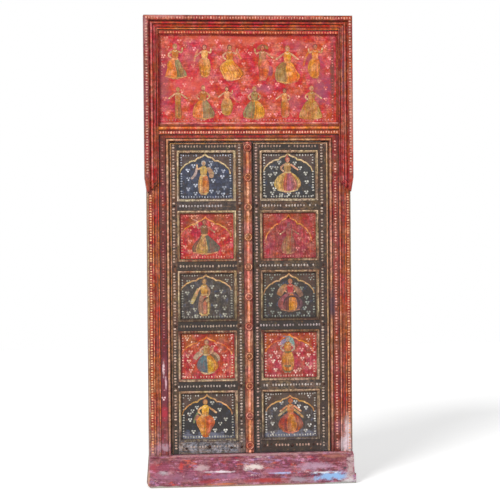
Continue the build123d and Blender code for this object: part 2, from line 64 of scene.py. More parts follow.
def sum_of(tree, kind, first, second):
    """One step of arithmetic between two numbers or masks."""
    return fit(tree, "Math", {"operation": kind}, {0: first, 1: second}).outputs[0]


def plus(tree, first, second):
    return sum_of(tree, "ADD", first, second)


def minus(tree, first, second):
    return sum_of(tree, "SUBTRACT", first, second)


def times(tree, first, second):
    return sum_of(tree, "MULTIPLY", first, second)


def both(tree, first, much, second, more):
    """Two masks added up, each in its own share."""
    return plus(tree, times(tree, first, much), times(tree, second, more))


def uneven(tree, value, noise, by):
    """A value that wanders up and down with a noise, over a range of by."""
    return plus(tree, value, times(tree, minus(tree, noise, 0.5), by))


def vector_of(tree, kind, first, second):
    """One step of arithmetic between two vectors."""
    return fit(tree, "VectorMath", {"operation": kind}, {0: first, 1: second}).outputs[0]


def stretch(tree, vector, by):
    return vector_of(tree, "MULTIPLY", vector, by)


def here(tree):
    """The place of a point, in metres."""
    return fit(tree, "TexCoord", {}, {}).outputs["Object"]


def one_of(tree, axis, vector=None):
    """One coordinate of a point's place, or of the vector that is given."""
    return fit(tree, "SeparateXYZ", {}, {0: here(tree) if vector is None else vector}).outputs[axis]


def cloud(tree, vector, size, detail, rough):
    """Soft noise with patches about size metres across, from 0 to 1."""
    sockets = {"Vector": vector, "Scale": 1.0 / size, "Detail": detail, "Roughness": rough}
    return fit(tree, "TexNoise", {}, sockets).outputs["Fac"]


def ease(tree, value, start, end, low=0.0, high=1.0):
    """A mask that goes smoothly from low to high while value goes from start to end."""
    sockets = {"Value": value, "From Min": start, "From Max": end, "To Min": low, "To Max": high}
    return fit(tree, "MapRange", {"interpolation_type": "SMOOTHSTEP"}, sockets).outputs["Result"]


def blend(tree, mask, under, over, way="MIX"):
    """Two colours, the second over the first where the mask is 1."""
    settings = {"data_type": "RGBA", "blend_type": way, "clamp_factor": True}
    return fit(tree, "Mix", settings, {0: mask, 6: under, 7: over}).outputs[2]


def new_group(name, inputs, outputs):
    """An empty node group with named sockets. Colours have four numbers, vectors three."""
    tree = bpy.data.node_groups.new(name, "ShaderNodeTree")
    kinds = {1: "NodeSocketFloat", 3: "NodeSocketVector", 4: "NodeSocketColor"}
    for label, value in inputs.items():
        size = len(value) if isinstance(value, (tuple, list)) else 1
        socket = tree.interface.new_socket(label, in_out="INPUT", socket_type=kinds[size])
        socket.default_value = value
    for label, size in outputs.items():
        tree.interface.new_socket(label, in_out="OUTPUT", socket_type=kinds[size])
    return tree, tree.nodes.new("NodeGroupInput").outputs, tree.nodes.new("NodeGroupOutput").inputs


def old_timber_group():
    """Dry brown timber: long fibres, darker growth lines and small open cracks along the grain."""
    inputs = {"Light": shade(150, 112, 78), "Dark": shade(84, 56, 36), "Along": (60.0, 60.0, 4.0)}
    tree, given, gives = new_group("old timber", inputs, {"Color": 4, "Height": 1})
    fibres = stretch(tree, here(tree), given["Along"])
    growth = cloud(tree, fibres, 1.0, 5.0, 0.65)
    fine = times(tree, cloud(tree, fibres, 0.22, 3.0, 0.7), 0.5)
    lines = ease(tree, plus(tree, growth, fine), 0.55, 0.95)
    cracks = ease(tree, cloud(tree, fibres, 0.55, 2.0, 0.4), 0.30, 0.36)
    wood = blend(tree, lines, given["Dark"], given["Light"])
    tree.links.new(blend(tree, cracks, shade(38, 26, 20), wood), gives["Color"])
    tree.links.new(plus(tree, fine, cracks), gives["Height"])
    return tree


def aged_paint_group():
    """Old hand-mixed paint: faded patches, brush streaks, dirt, painted shade on faces that slant away from
    the front, and chips down to the wood. Behind the depth Stops the piece was never painted and is bare
    timber."""
    inputs = {"Paint": shade(160, 60, 45), "Faded": shade(205, 130, 115), "Dirt And Shade": shade(70, 34, 24),
              "Timber": shade(140, 104, 76), "Timber Height": 0.0, "Fade": 0.5, "Soil": 0.5, "Bare": 0.3,
              "Along": (60.0, 60.0, 4.0), "Stops": 0.0, "Seed": 0.0, "Slope Shade": 0.6}
    tree, given, gives = new_group("aged paint", inputs, {"Color": 4, "Roughness": 1, "Height": 1})
    shift = fit(tree, "CombineXYZ", {}, {0: given["Seed"], 2: given["Seed"]}).outputs[0]
    spot = vector_of(tree, "ADD", here(tree), shift)
    fibres = stretch(tree, spot, given["Along"])
    streaks = cloud(tree, fibres, 0.42, 5.0, 0.66)
    scratches = cloud(tree, fibres, 0.16, 3.0, 0.6)
    patches = cloud(tree, spot, 0.10, 6.0, 0.68)
    mottle = cloud(tree, spot, 0.013, 5.0, 0.68)
    chips = cloud(tree, spot, 0.026, 8.0, 0.72)
    specks = cloud(tree, spot, 0.0045, 3.0, 0.6)
    # Faded in patches and rubbed in fine lines, but less where the paint is dark, and soiled in patches.
    bright = fit(tree, "RGBToBW", {}, {0: given["Paint"]}).outputs[0]
    exposed = ease(tree, bright, 0.012, 0.07, 0.15, 1.0)
    worn = ease(tree, both(tree, patches, 0.45, streaks, 0.55), 0.44, 0.60)
    coat = blend(tree, times(tree, worn, times(tree, given["Fade"], exposed)), given["Paint"], given["Faded"])
    rubbed = times(tree, ease(tree, scratches, 0.60, 0.68), plus(tree, given["Fade"], 0.15))
    coat = blend(tree, times(tree, rubbed, exposed), coat, given["Faded"])
    soiled = times(tree, ease(tree, both(tree, mottle, 0.6, streaks, 0.4), 0.56, 0.40), given["Soil"])
    coat = blend(tree, soiled, coat, given["Dirt And Shade"])
    # Painted shade: faces that slant away from the front, such as the flanks of beads and mouldings, are
    # darkened towards the dirt colour as if they were in shade.
    facing = one_of(tree, "Y", fit(tree, "TexCoord", {}, {}).outputs["Normal"])
    facing = sum_of(tree, "ABSOLUTE", facing, 0.0)
    slanting = times(tree, ease(tree, facing, 0.97, 0.70), ease(tree, facing, 0.05, 0.25))
    coat = blend(tree, times(tree, slanting, given["Slope Shade"]), coat, blend(
        tree, 1.0, coat, given["Dirt And Shade"], "MULTIPLY"))
    # The hue and the thickness of a hand-mixed paint drift, and grit darkens it.
    drift = cloud(tree, stretch(tree, spot, (1.0, 1.0, 0.6)), 0.05, 4.0, 0.62)
    thin = cloud(tree, stretch(tree, spot, (0.7, 0.7, 1.0)), 0.03, 5.0, 0.66)
    coat = fit(tree, "HueSaturation", {}, {
        "Hue": ease(tree, drift, 0.36, 0.64, 0.489, 0.516),
        "Saturation": ease(tree, thin, 0.34, 0.66, 1.14, 0.92),
        "Value": ease(tree, thin, 0.34, 0.66, 0.80, 1.16), "Color": coat}).outputs["Color"]
    grit = ease(tree, both(tree, specks, 0.5, mottle, 0.5), 0.34, 0.66, 0.62, 1.30)
    gritty = fit(tree, "CombineColor", {}, {0: grit, 1: grit, 2: grit}).outputs[0]
    coat = blend(tree, 1.0, coat, gritty, "MULTIPLY")
    # Chipped off, or never there.
    whole = minus(tree, 0.80, times(tree, given["Bare"], 0.34))
    bared = ease(tree, minus(tree, both(tree, chips, 0.8, streaks, 0.25), whole), 0.0, 0.02)
    depth = uneven(tree, one_of(tree, "Y"), mottle, 0.022)
    unpainted = ease(tree, minus(tree, depth, given["Stops"]), 0.0, 0.002)
    gone = sum_of(tree, "MAXIMUM", bared, unpainted)
    tree.links.new(blend(tree, gone, coat, given["Timber"]), gives["Color"])
    sheen = plus(tree, 0.48, times(tree, plus(tree, patches, gone), 0.18))
    tree.links.new(sheen, gives["Roughness"])
    skin = both(tree, streaks, 0.55, mottle, 0.5)
    wood = plus(tree, times(tree, given["Timber Height"], 0.5), -0.35)
    height = fit(tree, "Mix", {"data_type": "FLOAT"}, {0: gone, 2: skin, 3: wood}).outputs[0]
    tree.links.new(height, gives["Height"])
    return tree


def smear_group():
    """A ragged soft patch of another colour, round Centre and reaching Reach metres each way."""
    inputs = {"Color": shade(160, 60, 45), "Smear": shade(200, 200, 200), "Centre": (0.0, 0.0, 0.0),
              "Reach": (0.1, 0.1, 0.1), "Strength": 1.0, "Ragged": 0.5}
    tree, given, gives = new_group("smear", inputs, {"Color": 4, "Mask": 1})
    away = vector_of(tree, "SUBTRACT", here(tree), given["Centre"])
    away = vector_of(tree, "DIVIDE", away, given["Reach"])
    far = fit(tree, "VectorMath", {"operation": "LENGTH"}, {0: away}).outputs["Value"]
    torn = cloud(tree, stretch(tree, here(tree), (0.6, 1.0, 1.0)), 0.024, 8.0, 0.78)
    torn = times(tree, minus(tree, torn, 0.5), 3.6)
    far = plus(tree, far, times(tree, torn, given["Ragged"]))
    mask = times(tree, ease(tree, far, 1.15, 0.25), given["Strength"])
    tree.links.new(blend(tree, mask, given["Color"], given["Smear"]), gives["Color"])
    tree.links.new(mask, gives["Mask"])
    return tree


timber_grain, aged_paint, smear = old_timber_group(), aged_paint_group(), smear_group()
upright, level = (70.0, 70.0, 5.0), (5.0, 70.0, 70.0)
painted_all_round = 9.0


def smears(face, deep, rows):
    """Smears on a face. A row is (shade, x, z, reach across, reach up, strength, raggedness), in mm."""
    return [(tone, (x, face, z), (reach, deep, high), strength, ragged)
            for tone, x, z, reach, high, strength, ragged in rows]


def smeared(tree, colour, marks):
    """Lays smears over a colour. A mark is (colour, centre in mm, reach in mm, strength, raggedness)."""
    for tone, centre, reach, strength, ragged in marks:
        sockets = {"Color": colour, "Smear": shade(*tone), "Centre": [v / 1000 for v in centre],
                   "Reach": [v / 1000 for v in reach], "Strength": strength, "Ragged": ragged}
        colour = fit(tree, "Group", {"node_tree": smear}, sockets).outputs["Color"]
    return colour


def new_material(name):
    material = bpy.data.materials.new(name)
    material.use_nodes = True
    return material, material.node_tree, material.node_tree.nodes["Principled BSDF"]


def relief(tree, shader, height, distance, strength):
    """Makes a shader's surface uneven, by a distance in metres."""
    bump = fit(tree, "Bump", {}, {"Height": height, "Distance": distance, "Strength": strength})
    tree.links.new(bump.outputs["Normal"], shader.inputs["Normal"])


# The dark colour given for dirt also darkens the faces that slant away from the front, as painted shade.
def painted(name, colour, along, fade=0.5, soil=0.5, bare=0.3, stops=painted_all_round, faded=(204, 92, 62),
            grime=(72, 34, 24), marks=(), seed=0.0, crease=0.6, bump=0.0006):
    """A painted timber finish. colour is one shade, or a function that adds nodes and returns a colour."""
    material, tree, shader = new_material(name)
    wood = fit(tree, "Group", {"node_tree": timber_grain}, {"Along": along}).outputs
    under = colour(tree) if callable(colour) else shade(*colour)
    coat = fit(tree, "Group", {"node_tree": aged_paint}, {
        "Paint": under, "Faded": shade(*faded), "Dirt And Shade": shade(*grime), "Timber": wood["Color"],
        "Timber Height": wood["Height"], "Fade": fade, "Soil": soil, "Bare": bare, "Along": along,
        "Stops": stops, "Seed": seed, "Slope Shade": crease}).outputs
    tree.links.new(smeared(tree, coat["Color"], marks), shader.inputs["Base Color"])
    tree.links.new(coat["Roughness"], shader.inputs["Roughness"])
    relief(tree, shader, coat["Height"], bump, 0.9)
    return material


def dress(material, pieces):
    """Gives a finish to the CAD pieces that are named, with spaces between."""
    for name in pieces.split():
        for slot in nodes[name].material_slots:
            slot.material = material


def paint_pieces(pieces, name, colour, along, **looks):
    """Makes a painted finish and gives it to the pieces that are named."""
    dress(painted(name, colour, along, **looks), pieces)


def by_height(stops, axis="Z"):
    """A paint that changes with place along one axis. stops are (mm, shade), and it fades between them."""
    def paint(tree):
        value = uneven(tree, one_of(tree, axis), cloud(tree, here(tree), 0.04, 6.0, 0.7), 0.03)
        return ramp(tree, value, stops, "LINEAR")
    return paint


def ramp(tree, value, stops, kind):
    """A colour ramp over a distance in metres, from stops of (mm, shade)."""
    low, high = stops[0][0] / 1000, stops[-1][0] / 1000
    share = fit(tree, "MapRange", {}, {"Value": value, "From Min": low, "From Max": high}).outputs["Result"]
    node = fit(tree, "ValToRGB", {}, {"Fac": share})
    node.color_ramp.interpolation = kind
    points = node.color_ramp.elements
    while len(points) < len(stops):
        points.new(0.5)
    for point, (at, tone) in zip(points, stops):
        point.position = (at / 1000 - low) / (high - low)
        point.color = shade(*tone)
    return node.outputs["Color"]


def patched(base, patches):
    """A paint with other shades showing in soft patches. A patch is (shade, start, size in mm, strength)."""
    def paint(tree):
        colour = base(tree) if callable(base) else shade(*base)
        for number, (tone, start, size, strength) in enumerate(patches):
            spot = vector_of(tree, "ADD", here(tree), (7.3 * number + 1.7,) * 3)
            mask = ease(tree, cloud(tree, spot, size / 1000, 6.0, 0.68), start, start + 0.07)
            colour = blend(tree, times(tree, mask, strength), colour, shade(*tone))
        return colour
    return paint


sill_face = -55
sill_marks = smears(sill_face, 60, [
    ((200, 152, 112), -473, 60, 9, 80, 0.8, 0.5), ((164, 44, 58), -448, 92, 26, 26, 0.8, 0.8),
    ((150, 94, 116), -350, 46, 110, 22, 0.7, 0.9), ((148, 58, 82), -400, 90, 70, 18, 0.6, 0.9),
    ((190, 180, 186), -398, 68, 30, 11, 0.7, 1.1), ((192, 58, 50), -325, 96, 10, 26, 0.8, 0.9),
    ((198, 168, 170), -232, 88, 34, 16, 0.75, 1.0), ((228, 216, 222), -150, 68, 80, 6, 0.95, 0.9),
    ((156, 108, 140), -130, 46, 110, 14, 0.6, 0.9), ((150, 40, 42), -205, 24, 60, 9, 0.8, 0.8),
    ((196, 112, 60), -140, 12, 70, 6, 0.8, 0.7), ((226, 212, 206), 0, 88, 56, 18, 0.95, 1.0),
    ((166, 104, 136), 110, 66, 70, 18, 0.7, 0.9), ((176, 188, 232), 130, 56, 60, 6, 0.9, 1.0),
    ((164, 46, 36), 70, 24, 150, 12, 0.85, 0.7), ((186, 152, 172), 280, 84, 90, 22, 0.75, 1.0),
    ((164, 154, 166), 230, 24, 90, 14, 0.7, 1.0), ((140, 178, 222), 352, 38, 84, 24, 1.0, 1.2),
    ((224, 232, 238), 330, 54, 70, 6, 0.8, 1.1), ((156, 96, 74), 380, 128, 60, 12, 0.7, 0.8),
    ((198, 180, 176), 452, 66, 26, 60, 0.7, 1.3), ((44, 42, 54), 424, 72, 9, 7, 0.9, 0.6),
    ((206, 206, 206), 440, 14, 40, 10, 0.8, 0.9), ((206, 170, 170), -20, 140, 420, 5, 0.5, 0.9),
    ((168, 140, 116), 0, 2, 560, 7, 0.95, 0.4), ((178, 176, 162), -420, 3, 150, 7, 0.9, 0.6),
    ((176, 182, 176), 420, 3, 150, 8, 0.9, 0.6)])
# Rose paint by height; from 140 mm up, the top edge and the top face are painted lighter as a highlight,
# where they face the light from above.
sill_rose_and_highlight_stops = [
    (0, (132, 83, 86)), (40, (138, 62, 86)), (80, (140, 66, 86)), (110, (122, 40, 58)), (132, (140, 73, 81)),
    (140, (186, 129, 131)), (146, (182, 125, 127))]
sill_rubbings = [
    ((112, 30, 56), 0.5, 3.0), ((190, 122, 156), 0.54, 11.0), ((146, 116, 160), 0.57, 23.0),
    ((198, 58, 52), 0.57, 31.0), ((238, 222, 220), 0.6, 47.0), ((56, 30, 44), 0.61, 59.0)]


def rubbed_through(tree):
    """Rose paint, lighter along the top as a painted highlight, and streaked along the beam by feet and
    brooms with every colour that was ever under it.
    """
    colour = by_height(sill_rose_and_highlight_stops)(tree)
    for tone, start, shift in sill_rubbings:
        drawn = vector_of(tree, "ADD", stretch(tree, here(tree), (11.0, 60.0, 36.0)), (shift,) * 3)
        mask = ease(tree, cloud(tree, drawn, 0.8, 7.0, 0.76), start, start + 0.05)
        colour = blend(tree, times(tree, mask, 0.8), colour, shade(*tone))
    return colour


paint_pieces("sill", "rubbed rose paint on the sill", rubbed_through, level, fade=0.25, soil=0.4, bare=0.4,
             stops=0.012, faded=(206, 160, 168), grime=(84, 40, 52), marks=sill_marks, seed=1.7, crease=0.0)


# The two posts: moulded down the front below the door head, and tenoned into the sill. Red lead paint, worn
# pale on the arrises, with painted highlights on the crests and painted shade in the grooves of the moulding,
# and stained lilac grey at the feet, where rain splashes.
def striped(stops, distance):
    """Stripes along a moulding. stops are (mm, shade), and distance gives how far across it a point is."""
    def paint(tree):
        return ramp(tree, distance(tree), stops, "CONSTANT")
    return paint


def from_middle(tree):
    return fit(tree, "Math", {"operation": "ABSOLUTE"}, {0: one_of(tree, "X")}).outputs[0]


def bleached(base, tone, low, high, size, by, share):
    """A paint that has gone another shade near the floor: all of it below low, none above high, in mm."""
    def paint(tree):
        up = uneven(tree, one_of(tree, "Z"), cloud(tree, here(tree), size, 7.0, 0.7), by)
        wet = ease(tree, up, high / 1000, low / 1000)
        return blend(tree, times(tree, wet, share), base(tree), shade(*tone))
    return paint


def splashed(stops, tone):
    """The stripes of an upright moulding, and the lilac grey of its foot."""
    return bleached(striped(stops, from_middle), tone, 150, 330, 0.05, 0.25, 0.85)


sides = ("left", "right")
post_face = -31
# Stripes across each post, from the middle of the door outwards. The light stops on the crests of the two
# rolls are painted highlights, and the darkest narrow stops in the grooves beside them are painted shade.
post_paint_and_shading = {
    "left": [(405, (160, 52, 22)), (412, (220, 96, 52)), (416, (170, 56, 24)), (418, (79, 19, 7)),
        (420, (143, 40, 10)), (432, (100, 27, 13)), (435, (203, 92, 57)), (437, (255, 144, 100)),
        (440, (90, 20, 8)), (442.5, (142, 37, 14)), (457, (100, 32, 14)), (458.5, (255, 213, 154)),
        (463.8, (136, 62, 44)), (470, (136, 62, 44))],
    "right": [(405, (181, 87, 62)), (412, (232, 137, 110)), (416, (174, 77, 56)), (418, (77, 24, 14)),
        (420, (130, 28, 5)), (432, (92, 20, 4)), (435, (191, 78, 42)), (437, (244, 121, 73)),
        (440, (86, 20, 8)), (442.5, (136, 46, 21)), (457, (127, 63, 36)), (458.5, (255, 216, 142)),
        (463.8, (136, 62, 44)), (470, (136, 62, 44))]}
post_foot = {"left": (164, 120, 130), "right": (210, 204, 210)}
red_patches = [
    ((126, 36, 44), 0.56, 46, 0.35), ((222, 112, 52), 0.58, 34, 0.35), ((206, 138, 124), 0.62, 20, 0.4)]
post_patches = [
    ((138, 38, 34), 0.56, 46, 0.25), ((222, 112, 52), 0.56, 34, 0.4), ((206, 138, 124), 0.62, 20, 0.35)]
splashes = {
    "left": smears(post_face, 26, [((176, 132, 150), -420, 180, 24, 30, 0.6, 1.0)]),
    "right": smears(post_face, 26, [((228, 214, 220), 442, 225, 14, 90, 0.65, 0.9),
                                    ((216, 200, 208), 424, 180, 30, 34, 0.6, 1.0)])}
for number, side in enumerate(sides):
    paint_pieces(f"{side}_post", f"{side} post red paint",
                 patched(splashed(post_paint_and_shading[side], post_foot[side]), post_patches), upright,
                 fade=0.45, soil=0.5, bare=0.32, stops=0.008, marks=splashes[side], seed=3.1 + number)


# Head rail, transom rail and the six pegs of their tenons. They are behind the mouldings, so they were left
# as sawn and adzed timber, darkened by age.
def bare_timber(name, along, light=(146, 110, 80), dark=(82, 56, 38), seed=0.0):
    """Unpainted old timber, soiled and faded in patches, with painted shade on its slanting faces."""
    return painted(name, light, along, fade=0.55, soil=0.75, bare=0.75, faded=(168, 140, 112),
                   grime=dark, seed=seed, bump=0.0009)


dress(bare_timber("bare level timber", level, seed=5.0), "head_rail transom_rail top_panel_battens")
dress(bare_timber("peg end grain", (60.0, 8.0, 60.0), (158, 122, 88), (92, 64, 44), 7.0), "frame_pegs")


# The iron cups let into the sill, in which the lower pivots of the leaves turn. Forged, nearly black, with
# brown rust.
def rusty_iron():
    """Forged iron, nearly black, with rust in blotches that is rougher and not metallic."""
    material, tree, shader = new_material("rusted iron")
    blotch = ease(tree, cloud(tree, here(tree), 0.006, 6.0, 0.7), 0.42, 0.58)
    pits = cloud(tree, here(tree), 0.0015, 4.0, 0.6)
    rust = blend(tree, pits, shade(48, 28, 20), shade(96, 56, 36))
    tree.links.new(blend(tree, blotch, shade(34, 30, 32), rust), shader.inputs["Base Color"])
    tree.links.new(ease(tree, blotch, 0.0, 1.0, 0.5, 0.85), shader.inputs["Roughness"])
    tree.links.new(ease(tree, blotch, 0.0, 1.0, 0.8, 0.05), shader.inputs["Metallic"])
    relief(tree, shader, pits, 0.0004, 0.8)
    return material


iron = rusty_iron()
dress(iron, "pivot_cups")


# The surround of the upper door: a flat outer band with a reeded moulding inside it, mitred at the corners
# and returned on the slant above the shoulders. Reds worn to pink on the crests, which are also painted
# lighter as highlights, with painted shade in the flutes between.
half_width, full_height, surround_width = 0.475, 2.130, 0.064
shoulder_x, shoulder_z, slope_x, slope_z = 0.411, 1.377, 0.656, 0.755


def in_from_edge(tree):
    """How far in from the surround's outer edge a point is, round the corners and the slanting returns."""
    off, up = from_middle(tree), one_of(tree, "Z")
    inset = sum_of(tree, "MINIMUM", minus(tree, half_width, off), minus(tree, full_height, up))
    slant = both(tree, minus(tree, off, shoulder_x), slope_x, minus(tree, up, shoulder_z), slope_z)
    return sum_of(tree, "MAXIMUM", inset, minus(tree, surround_width, slant))


band_face, moulding_face = -47, -40
band_reds = {"left": (130, 46, 44), "right": (145, 53, 39), "head": (157, 51, 36)}
# Stripes across the reeded moulding, in from its outer edge: the pale crest stops are painted highlights as
# well as wear, and the dark flute stops between are painted shade.
reed_paint_and_shading = {
    "left": [(20, (180, 42, 28)), (26, (128, 28, 19)), (28, (178, 62, 56)), (32, (216, 107, 99)),
        (37, (174, 62, 57)), (41, (118, 30, 22)), (43, (216, 71, 60)), (47, (104, 26, 18)),
        (49, (193, 57, 46)), (53, (110, 19, 11)), (56, (124, 28, 17)), (59, (182, 62, 41)),
        (62, (136, 35, 21)), (66, (136, 35, 21))],
    "right": [(20, (170, 38, 23)), (26, (109, 22, 14)), (28, (155, 55, 45)), (32, (184, 81, 70)),
        (37, (151, 52, 43)), (41, (118, 29, 20)), (43, (236, 114, 104)), (47, (114, 28, 19)),
        (49, (202, 86, 68)), (53, (110, 20, 11)), (56, (127, 29, 25)), (59, (181, 61, 55)),
        (62, (137, 35, 33)), (66, (137, 35, 33))],
    "head": [(20, (144, 19, 8)), (26, (91, 10, 4)), (28, (144, 12, 4)), (32, (181, 34, 22)),
        (37, (138, 12, 4)), (41, (105, 18, 8)), (43, (249, 58, 12)), (47, (95, 15, 5)), (49, (204, 45, 7)),
        (53, (103, 13, 4)), (56, (162, 51, 20)), (59, (255, 131, 67)), (62, (235, 95, 49)),
        (66, (235, 95, 49))]}
band_marks = {
    "left": smears(band_face, 30, [((200, 146, 150), -468, 2080, 9, 90, 0.4, 0.8),
                                   ((140, 70, 76), -468, 1760, 9, 150, 0.4, 0.9)]),
    "right": smears(band_face, 30, [((222, 146, 124), 468, 1660, 8, 220, 0.4, 0.9)]),
    "head": smears(band_face, 30, [((214, 152, 148), -390, 2124, 110, 8, 0.5, 0.8),
                                   ((204, 120, 100), 120, 2126, 240, 6, 0.35, 0.9)])}
reed_faded = {"left": (204, 92, 62), "right": (204, 92, 62), "head": (208, 82, 38)}
reed_stain = {"right": smears(moulding_face, 30, [((104, 48, 80), 431, 1880, 6, 190, 0.6, 0.7)])}
for number, side in enumerate(("left", "right", "head")):
    run = level if side == "head" else upright
    paint_pieces(f"{side}_outer_band", f"{side} outer band paint", patched(band_reds[side], red_patches), run,
                 fade=0.45, soil=0.45, bare=0.3, stops=0.008, marks=band_marks[side], seed=11.0 + number)
    paint_pieces(f"{side}_surround_moulding", f"{side} reeded moulding paint",
                 patched(striped(reed_paint_and_shading[side], in_from_edge), red_patches), run, fade=0.42, soil=0.4,
                 bare=0.28, faded=reed_faded[side], marks=reed_stain.get(side, ()), seed=14.0 + number)


# The linings that the leaves shut between: a flat with a bead along the inner edge, mitred at the head.
# Dull red, with a peach bead, painted lighter along its crest as a highlight, and a dark stain on the right
# one.
lining_face = -25
# Stripes across each lining, from the middle of the door outwards; the lightest stop on the bead is a painted
# highlight.
lining_paint_and_highlight = {
    "left": [(360, (159, 105, 71)), (367, (216, 163, 126)), (376, (168, 109, 78)), (378, (48, 6, 4)),
        (381, (92, 17, 16)), (405, (66, 8, 6)), (420, (66, 8, 6))],
    "right": [(360, (153, 92, 65)), (367, (200, 139, 109)), (376, (157, 92, 65)), (378, (56, 13, 8)),
        (381, (125, 42, 33)), (405, (78, 19, 12)), (420, (78, 19, 12))]}
lining_foot = {"left": (132, 70, 90), "right": (84, 28, 26)}
lining_marks = {
    "left": smears(lining_face, 20, [
        ((112, 34, 58), -392, 420, 24, 240, 0.55, 0.6), ((176, 34, 54), -396, 334, 20, 44, 0.8, 0.6),
        ((232, 196, 200), -398, 536, 7, 38, 0.9, 0.7), ((226, 180, 190), -388, 470, 5, 34, 0.8, 0.8),
        ((196, 164, 178), -392, 180, 22, 26, 0.55, 1.0)]),
    "right": smears(lining_face, 26, [((78, 50, 62), 374, 812, 24, 80, 0.95, 0.6)]) +
    smears(lining_face, 20, [
        ((186, 146, 150), 400, 176, 18, 22, 0.4, 1.0), ((140, 84, 104), 394, 262, 20, 36, 0.5, 0.8)])}
lining_patches = [
    ((120, 30, 28), 0.56, 46, 0.35), ((212, 92, 48), 0.58, 34, 0.3), ((190, 96, 76), 0.62, 20, 0.4)]
for number, side in enumerate(sides):
    ground = patched(splashed(lining_paint_and_highlight[side], lining_foot[side]), lining_patches)
    paint_pieces(f"{side}_lining", f"{side} lining paint", ground, upright, fade=0.35, soil=0.5, bare=0.32,
                 stops=0.008, faded=(184, 72, 56), marks=lining_marks[side], seed=17.0 + number)


def above_floor(tree):
    return one_of(tree, "Z")


# The head lining's bead has the same painted highlight along its crest.
head_lining_paint_and_highlight = [
    (1560, (147, 83, 50)), (1566, (212, 149, 108)), (1573, (147, 74, 45)), (1575, (61, 11, 3)),
    (1578, (152, 42, 15)), (1589, (82, 15, 4)), (1600, (82, 15, 4))]
paint_pieces("head_lining", "head lining paint", striped(head_lining_paint_and_highlight, above_floor), level, fade=0.35,
             soil=0.45, bare=0.28, stops=0.008, seed=19.0)


# The transom moulding over the leaves: a dotted flat, a big roll and a cap, all in one length of timber.
# Vermilion, with a painted orange highlight along the crest of the roll and painted shade in the grooves
# beside it.
transom_paint_and_shading = [
    (1590, (134, 26, 16)), (1594, (162, 38, 28)), (1609, (104, 24, 12)), (1612, (190, 72, 28)),
    (1619, (236, 118, 60)), (1626, (200, 80, 34)), (1630, (120, 20, 8)), (1634, (150, 28, 10)),
    (1645, (150, 28, 10))]
paint_pieces("transom_moulding", "transom moulding paint", striped(transom_paint_and_shading, above_floor), level,
             fade=0.2, soil=0.35, bare=0.22, stops=0.008, seed=21.0, faded=(236, 130, 86))


# The top panel: two wide boards painted crimson as one picture, with fillets planted round it. The crimson
# has gone mauve and orange in patches, and a painted shadow runs along its top under the head fillet.
board_face = -11
board_marks = smears(board_face, 9, [
    ((150, 62, 78), -385, 1830, 40, 170, 0.7, 0.7), ((160, 70, 84), -250, 1940, 60, 60, 0.5, 0.7),
    ((150, 66, 84), 330, 1830, 70, 90, 0.55, 0.7), ((154, 60, 76), 230, 1995, 70, 30, 0.6, 0.7),
    ((206, 80, 56), -40, 2025, 300, 30, 0.6, 0.7), ((214, 72, 76), -260, 1815, 110, 60, 0.6, 0.6),
    # The two thin dark reds at about 2040 mm, across the top of the boards, are painted shadow under the head
    # fillet.
    ((150, 76, 96), 60, 1800, 60, 24, 0.6, 0.7), ((146, 26, 20), 60, 2040, 200, 7, 0.8, 0.8),
    ((150, 36, 26), -60, 2043, 90, 6, 0.8, 0.6), ((98, 50, 36), 387, 1860, 13, 220, 0.85, 0.5),
    ((138, 58, 98), 300, 1930, 70, 50, 0.5, 0.8), ((130, 58, 98), 345, 1780, 50, 70, 0.5, 0.8),
    ((152, 60, 88), 210, 1740, 70, 50, 0.45, 0.8)])
board_patches = [
    ((156, 56, 84), 0.54, 55, 0.5), ((210, 82, 50), 0.57, 50, 0.4), ((164, 34, 38), 0.58, 22, 0.4),
    ((226, 118, 114), 0.63, 14, 0.4)]
paint_pieces("upper_top_board lower_top_board", "crimson ground of the top panel",
             patched((196, 56, 50), board_patches), level, fade=0.45, soil=0.35, bare=0.18, stops=0.002,
             faded=(226, 104, 92), grime=(140, 44, 50), marks=board_marks, seed=23.0)
paint_pieces("head_fillet", "head fillet paint", (178, 30, 6), level, fade=0.4, soil=0.35, bare=0.25,
             stops=0.0, faded=(212, 80, 42), seed=24.0)
paint_pieces("foot_fillet", "foot fillet paint", (236, 134, 126), level, fade=0.4, soil=0.4, bare=0.22,
             faded=(232, 148, 136), seed=25.0)
orange_to_brown = by_height([(-500, (212, 64, 32)), (-300, (212, 64, 32)), (300, (140, 36, 28)),
                             (500, (140, 36, 28))], "X")
paint_pieces("side_fillets", "side fillet paint", orange_to_brown, upright, fade=0.3, soil=0.5, bare=0.25,
             seed=26.0)


# The frames of the leaves: stiles with a pivot stub at each end, and six rails tenoned through them. Dark
# olive brown paint, greasy with handling, bleached blue grey near the sill.
worn_patches = [
    ((18, 13, 11), 0.5, 15, 0.75), ((146, 130, 128), 0.61, 18, 0.45), ((96, 92, 58), 0.6, 26, 0.5),
    ((128, 78, 48), 0.6, 12, 0.5)]
stile_browns = {
    "left": [(150, (50, 38, 32)), (330, (66, 44, 30)), (800, (88, 50, 30)), (1559, (86, 46, 24))],
    "right": [(150, (50, 40, 36)), (330, (56, 38, 28)), (800, (64, 34, 18)), (1559, (66, 34, 18))]}
rail_browns = {
    "left": [(178, (104, 98, 100)), (300, (48, 36, 30)), (452, (28, 20, 14)), (724, (22, 12, 6)),
        (997, (42, 22, 10)), (1269, (68, 56, 54)), (1540, (28, 14, 6))],
    "right": [(178, (36, 20, 10)), (300, (56, 40, 32)), (452, (84, 68, 60)), (724, (18, 12, 14)),
        (997, (72, 52, 42)), (1269, (76, 52, 36)), (1540, (10, 6, 4))]}
stile_foot = {
    "left_hinge": (44, 38, 38),
    "left_meeting": (118, 114, 134),
    "right_hinge": (50, 48, 54),
    "right_meeting": (50, 44, 50)}
rail_foot = {"left": (150, 152, 164), "right": (48, 32, 24)}


